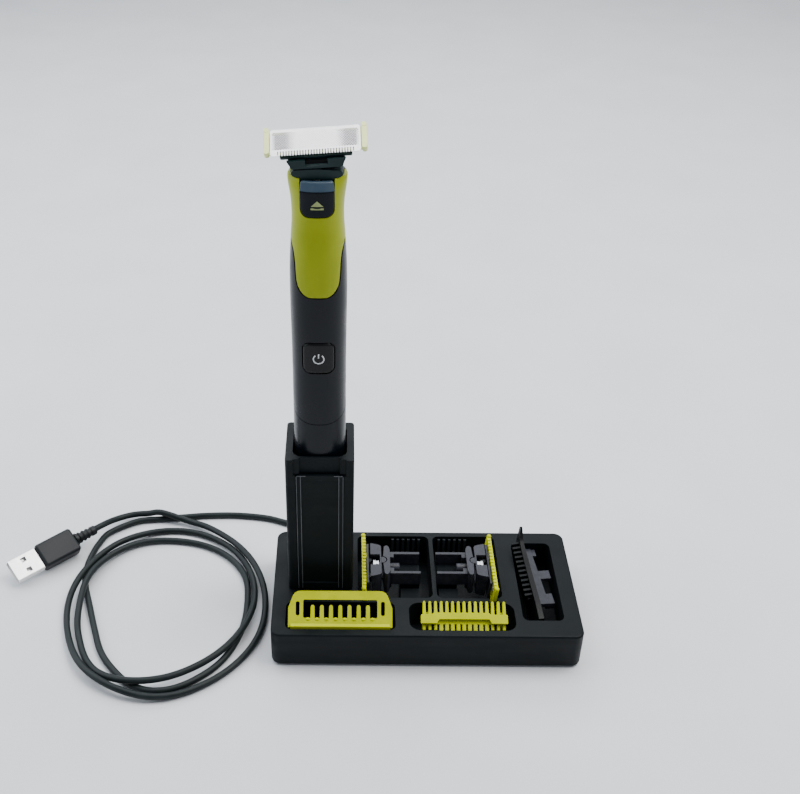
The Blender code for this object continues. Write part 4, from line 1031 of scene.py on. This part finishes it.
def make_tray():
    tray = outline("tray", [rounded_rectangle(TRAY_LOW[0], TRAY_LOW[1], TRAY_HIGH[0], TRAY_HIGH[1], 4.5, 8)],
                   TRAY_LOW[2], TRAY_HIGH[2], None, "printed_black")
    rounded(tray, 1.0, 3)
    tools = [outline(name + "_pocket", [rounded_rectangle(x0, y0, x1, y1, radius, 8)], floor, 30, None)
             for name, (x0, y0, x1, y1, radius, floor) in POCKETS.items()]
    tools += [box("cable_way_up", (AXIS_X - 2.6, AXIS_Y - 2.6, -2), (AXIS_X + 2.6, AXIS_Y + 2.6, 30)),
              box("cable_way_back", (AXIS_X - 2.6, AXIS_Y, 3.0), (AXIS_X + 2.6, 50, 11.6)),
              box("cover_recess", (-57.0, -10.8, -2), (-35.6, 31, 2.8))]
    tools += [box(name, (x - 2.1, -13.0, 14.0), (x + 2.1, -10.0, 30))
              for name, x in (("left_bay", -27.3), ("right_bay", 31.9))]
    for number in range(1, 5):
        x, y, _ = middle(f"rubber_foot_{number}")
        tools.append(cylinder(f"foot_recess_{number}", (x, y, -1), (x, y, 1.8), 5.3))
    cut(tray, *tools)
    posts = []
    for side, x in (("left", -6.3), ("right", 11.7)):
        posts += [box(side + "_post", (x - 4.6, 2.2, 3.4), (x + 4.6, 11.0, 19.8)),
                  box(side + "_step", (x - 4.6, -8.8, 3.4), (x + 4.6, -1.6, 16.8))]
    unite(tray, *posts)
    rounded(tray, 0.45, 2, 60)
    show(tray, "stand", "printed_black", "stand_tray")
    # The pocket ribs take a lighter grey than the tray: painted highlight.
    ribs = [box(f"rib_{i}", (x - 0.6, 30.6, 3.6), (x + 0.6, 31.6, 18.4)) for i, x in
            enumerate([-13.6 + 2.6 * k for k in range(6)] + [9.4 + 2.6 * k for k in range(6)])]
    show(join("pocket_ribs", ribs, "rib_grey"), "stand", "printed_black")


def make_tower():
    x0, x1, y0, y1 = TOWER_LOW[0], TOWER_HIGH[0], TOWER_LOW[1], TOWER_HIGH[1]
    tower = outline("tower", [rounded_rectangle(x0, y0, x1, y1, 1.6, 5)], TOWER_LOW[2], TOWER_HIGH[2], None,
                    "printed_black")
    rounded(tower, 0.5, 2)
    opening = rounded_rectangle(-WELL_HALF_WIDTH, WELL_FRONT, WELL_HALF_WIDTH, WELL_BACK, 4.0, 8)
    well = outline("well", [opening], WELL_FLOOR, 110, at(AXIS_X, 0, 0))
    shoulder_z = high("tower_front_cover")[2]
    cut(tower, well,
        box("cover_bay", (AXIS_X - 10.7, -12, 0), (AXIS_X + 10.7, WELL_FRONT - 1.1, shoulder_z + 0.4)),
        box("cover_bay_top", (AXIS_X - 8.9, -12, 80), (AXIS_X + 8.9, WELL_FRONT - 1.1, 120)),
        box("shoulder", (AXIS_X - 11.6, -12, shoulder_z), (AXIS_X + 11.6, TOWER_LOW[1] + 0.9, 120)),
        box("cable_way", (AXIS_X - 4.3, AXIS_Y - 3.0, 0), (AXIS_X + 4.3, AXIS_Y + 3.0, 60)))
    rounded(tower, 0.3, 2, 60)
    show(tower, "stand", "printed_black", "stand_tower")

    cover_low, cover_high = low("tower_front_cover"), high("tower_front_cover")
    cover = box("cover_plate", cover_low, cover_high, "printed_black")
    panel = box("cover_recess", (AXIS_X - 8.4, -12, 24.5), (AXIS_X + 8.4, cover_low[1] + 0.7, 86.2))
    cut(cover, panel)
    rounded(cover, 0.25, 2)
    show(cover, "stand", "printed_black", "tower_front_cover")
    # Thin pale lines along the cover's edges: painted highlights for the light that the edges catch.
    front, top = cover_low[1] - 0.02, cover_high[2]
    highlight_lines = []
    for side in (-1, 1):
        for away, y in ((10.25, front), (8.4, front + 0.05)):
            x = AXIS_X + side * away
            foot = (x, y, cover_low[2] + 0.5)
            highlight_lines.append(cylinder(f"side_highlight_{side}_{away}", foot, (x, y, top - 0.4), 0.16, sides=8))
        ends = [(AXIS_X + side * away, front, top - 0.15) for away in (10.1, 6.2)]
        highlight_lines.append(cylinder(f"top_highlight_{side}", *ends, 0.16, sides=8))
    show(join("painted_edge_lines", highlight_lines, "printed_edge"), "stand", "printed_black")


# ------ combs

def make_stubble_comb():
    centre_x, low_y, low_z, slope = -39.4, -29.6, 19.6, 48.0
    place = at(centre_x, low_y, low_z) @ Matrix.Rotation(math.radians(slope), 4, "X")
    outer = mirrored([(0, 0), (23.7, 0), (23.7, 8.6), (22.0, 13.2), (21.5, 14.4), (20.7, 15.4), (19.4, 16.1),
                      (18.0, 16.3), (0, 16.3)])
    window = [(-16.5, 12.4), (-16.9, 11.8), (-16.9, 4.6), (-16.5, 4.1)]
    for i in range(7):
        x = (i - 3) * 4.2
        window += [(x - 0.95, 4.1), (x - 0.85, 9.3), (x - 0.45, 9.9), (x + 0.45, 9.9), (x + 0.85, 9.3),
                   (x + 0.95, 4.1)]
    window += [(16.5, 4.1), (16.9, 4.6), (16.9, 11.8), (16.5, 12.4)]
    slots = [rounded_rectangle(x - 0.9, 5.2, x + 0.9, 11.6, 0.8, 4) for x in (-19.4, 19.4)]
    comb = outline("stubble_guard", [outer, window, *slots], -2.4, 0.0, place, "lime")
    skirt = [box("skirt", (centre_x - 22.5, -30.4, 6.6), (centre_x + 22.5, -28.6, 21.0))]
    for side in (-1, 1):
        x = centre_x + side * 22.0
        side_outline = [(-29.6, 6.6), (-22.0, 6.6), (-22.0, 25.0), (-29.6, 17.0)]
        skirt.append(outline(f"side_{side}", [side_outline], x - 0.9, x + 0.9, SIDE_ON))
    unite(comb, *skirt)
    rounded(comb, 0.7, 3, 50)
    bumps = [ball(f"bump_{i}", ((i - 3.5) * 4.2, 3.7, -0.15), (1.05, 0.75, 0.6), place=place)
             for i in range(8)]
    show(comb, "stubble_comb", "lime", "stubble_comb")
    show(join("stubble_bumps", bumps, "lime"), "stubble_comb", "lime")


def make_skin_guard():
    centre_x, low_y, low_z, slope = 17.1, -30.2, 19.0, 35.0
    place = at(centre_x, low_y, low_z) @ Matrix.Rotation(math.radians(slope), 4, "X")
    half, pitch, teeth = 19.8, 2.6, 15
    edge = [(half, 3.0), (half, 6.6), (19.5, 7.2)]
    for i in range(teeth):
        x = (teeth - 1) / 2 * pitch - i * pitch
        root = 7.2 if i in (0, 1, 2, teeth - 2, teeth - 1) else 8.0
        edge += [(x + 0.78, root), (x + 0.62, 12.7), (x + 0.3, 13.2), (x - 0.3, 13.2), (x - 0.62, 12.7),
                 (x - 0.78, root)]
    edge += [(-19.5, 7.2), (-half, 6.6), (-half, 3.0), (-12.4, 3.0), (-11.4, 4.9), (11.4, 4.9), (12.4, 3.0)]
    comb = outline("guard", [edge], -1.8, 0.0, place, "lime")
    rounded(comb, 0.35, 3, 50)
    show(comb, "skin_guard", "lime", "skin_guard")
    pieces = []
    for i in range(teeth):
        x = -(teeth - 1) / 2 * pitch + i * pitch
        size = 0.9 if 2 < i < teeth - 3 else 0.7
        tip = 1.6 - 1.7 * size / 0.9
        tooth = box(f"front_tooth_{i}", (x - size, tip, -3.6), (x + size, 3.6, -1.9), place=place)
        pieces.append(rounded(tooth, 0.4, 3))
    pieces.append(rounded(box("front_bar", (-19.4, 3.0, -3.6), (19.4, 6.0, -1.9), place=place), 0.3, 2))
    for side in (-1, 1):
        x = centre_x + side * 17.6
        pieces.append(box(f"leg_{side}", (x - 1.2, -26.5, 6.4), (x + 1.2, -21.5, 21.6)))
    show(join("guard_front", pieces, "lime"), "skin_guard", "lime")


def make_precision_comb():
    pivot = at(51.5, 2.0, 0)
    askew = pivot @ Matrix.Rotation(math.radians(6.0), 4, "Z") @ pivot.inverted()       # it lies at an angle
    spine_x = 50.4
    thin_x = (spine_x + 0.6) * MM               # the side that the tip thins towards
    blade = [(-22.6, 5.4), (24.0, 5.4), (25.4, 24.0), (26.4, 29.5), (26.3, 31.4), (25.6, 32.4), (24.6, 32.3),
             (23.6, 31.0), (22.2, 28.4), (20.0, 26.4), (10.0, 24.6), (-14.0, 21.4), (-22.6, 19.0)]
    comb = outline("beard_comb", [blade], -1.2, 1.2, at(spine_x, 0, 0) @ SIDE_ON, "comb_black")
    comb.data.transform(comb.matrix_world)
    comb.matrix_world = Matrix.Identity(4)
    for point in comb.data.vertices:
        thinning = 1 - 0.55 * min(max((point.co.z / MM - 24.0) / 6.0, 0.0), 1.0)
        point.co.x = thin_x + (point.co.x - thin_x) * thinning
    teeth = []
    for i in range(12):
        y, z = -8.0 + i * 2.7, 18.6 + i * 0.45
        teeth.append(outline(f"tooth_{i}", [[(0.6, z), (-4.6, z + 0.7), (-4.6, z + 1.5), (0.6, z + 2.2)]],
                             -y - 0.6, -y + 0.6, upright(spine_x, 0)))
    leaf = [(0.4, -9.5), (0.4, 26.6), (-0.9, 26.0), (-2.6, 23.4), (-3.9, 18.0), (-4.2, 8.0), (-4.0, -4.0),
            (-3.2, -9.5)]
    rising = at(spine_x, 0, 19.9) @ Matrix.Rotation(math.radians(9.4), 4, "X")
    web = outline("tooth_web", [leaf], -0.6, 0.1, rising)
    unite(comb, *teeth, web)
    rounded(comb, 0.25, 2, 50)
    clip = box("comb_clip", (spine_x + 1.5, -12.0, 15.4), (spine_x + 6.4, 25.5, 17.4), "grey_black")
    unite(clip, box("clip_arm", (spine_x + 5.0, 4.4, 15.4), (spine_x + 11.6, 9.8, 17.4)),
          box("clip_hook", (spine_x + 5.0, 20.5, 15.7), (spine_x + 8.4, 25.0, 17.1)),
          box("clip_foot", (spine_x + 5.0, -11.5, 13.4), (spine_x + 9.4, -5.0, 16.8)))
    rounded(clip, 0.35, 3)
    for piece in (comb, clip):
        piece.matrix_world = askew @ piece.matrix_world
    show(comb, "precision_comb", "printed_black", "precision_comb")
    show(clip, "precision_comb", "printed_black", "precision_comb_clip")


# ------ what shows of the plain CAD pieces

CAD_MATERIALS = {
    "printed_black": ["base_cover"],
    "rubber": ["rubber_foot_1", "rubber_foot_2", "rubber_foot_3", "rubber_foot_4", "dock_plug", "dock_cable",
               "seam_seal", "charge_socket"],
    "grey_black": ["inner_chassis", "drive_block"],
    "battery_blue": ["battery_cell"],
    "board_green": ["circuit_board"],
    "white_plastic": ["power_switch", "status_led", "drive_arm"],
    "steel": ["motor_can", "motor_rotor", "arm_pin", "release_spring", "chassis_screw_1", "chassis_screw_2"],
}


def finish_cad_nodes():
    for material, names in CAD_MATERIALS.items():
        for name in names:
            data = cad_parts[name].data
            data.materials.clear()
            data.materials.append(MATERIALS[material])


# ------ studio

def area_light(name, place, target, size, power, colour=(1, 1, 1)):
    data = bpy.data.lights.new(name, "AREA")
    data.shape = "RECTANGLE"
    data.size, data.size_y = size
    data.energy = power
    data.color = colour
    light = bpy.data.objects.new(name, data)
    light.location = place
    light.rotation_euler = (Vector(target) - Vector(place)).to_track_quat("-Z", "Y").to_euler()
    bpy.context.scene.collection.objects.link(light)


def make_studio():
    made, shader, node, links = new_material("floor")
    tone = noise(node, position(node), 60.0, 5.0)
    pale = ramp(node, tone, [(0.3, (0.640, 0.655, 0.680)), (0.7, (0.680, 0.693, 0.715))])
    links.new(pale, shader.inputs["Base Color"])
    shader.inputs["Roughness"].default_value = 0.75
    MATERIALS["floor"] = made
    floor = box("floor", (-3000, -2000, -20), (3000, 4000, 0), "floor")
    world = bpy.data.worlds.new("studio")
    world.use_nodes = True
    sky = world.node_tree.nodes["Background"]
    sky.inputs["Color"].default_value = (0.86, 0.91, 1.0, 1.0)
    sky.inputs["Strength"].default_value = 0.42
    bpy.context.scene.world = world
    area_light("key", (0.55, 0.05, 1.00), (-0.03, 0, 0.08), (0.7, 0.7), 13.5, (1.0, 0.985, 0.96))
    area_light("fill", (-0.85, 0.15, 0.55), (-0.03, 0, 0.1), (0.6, 0.9), 7.0, (0.88, 0.94, 1.0))
    area_light("overhead", (-0.05, 0.30, 1.15), (-0.03, 0, 0.05), (1.2, 0.6), 10.0)
    area_light("back", (-0.25, 0.95, 0.80), (-0.03, 0, 0.05), (1.2, 0.5), 8.0, (0.92, 0.96, 1.0))


MATERIALS = make_materials()
make_camera()
make_lead()
make_tray()
make_tower()
make_handle()
make_blades()
make_stubble_comb()
make_skin_guard()
make_precision_comb()
finish_cad_nodes()
make_studio()
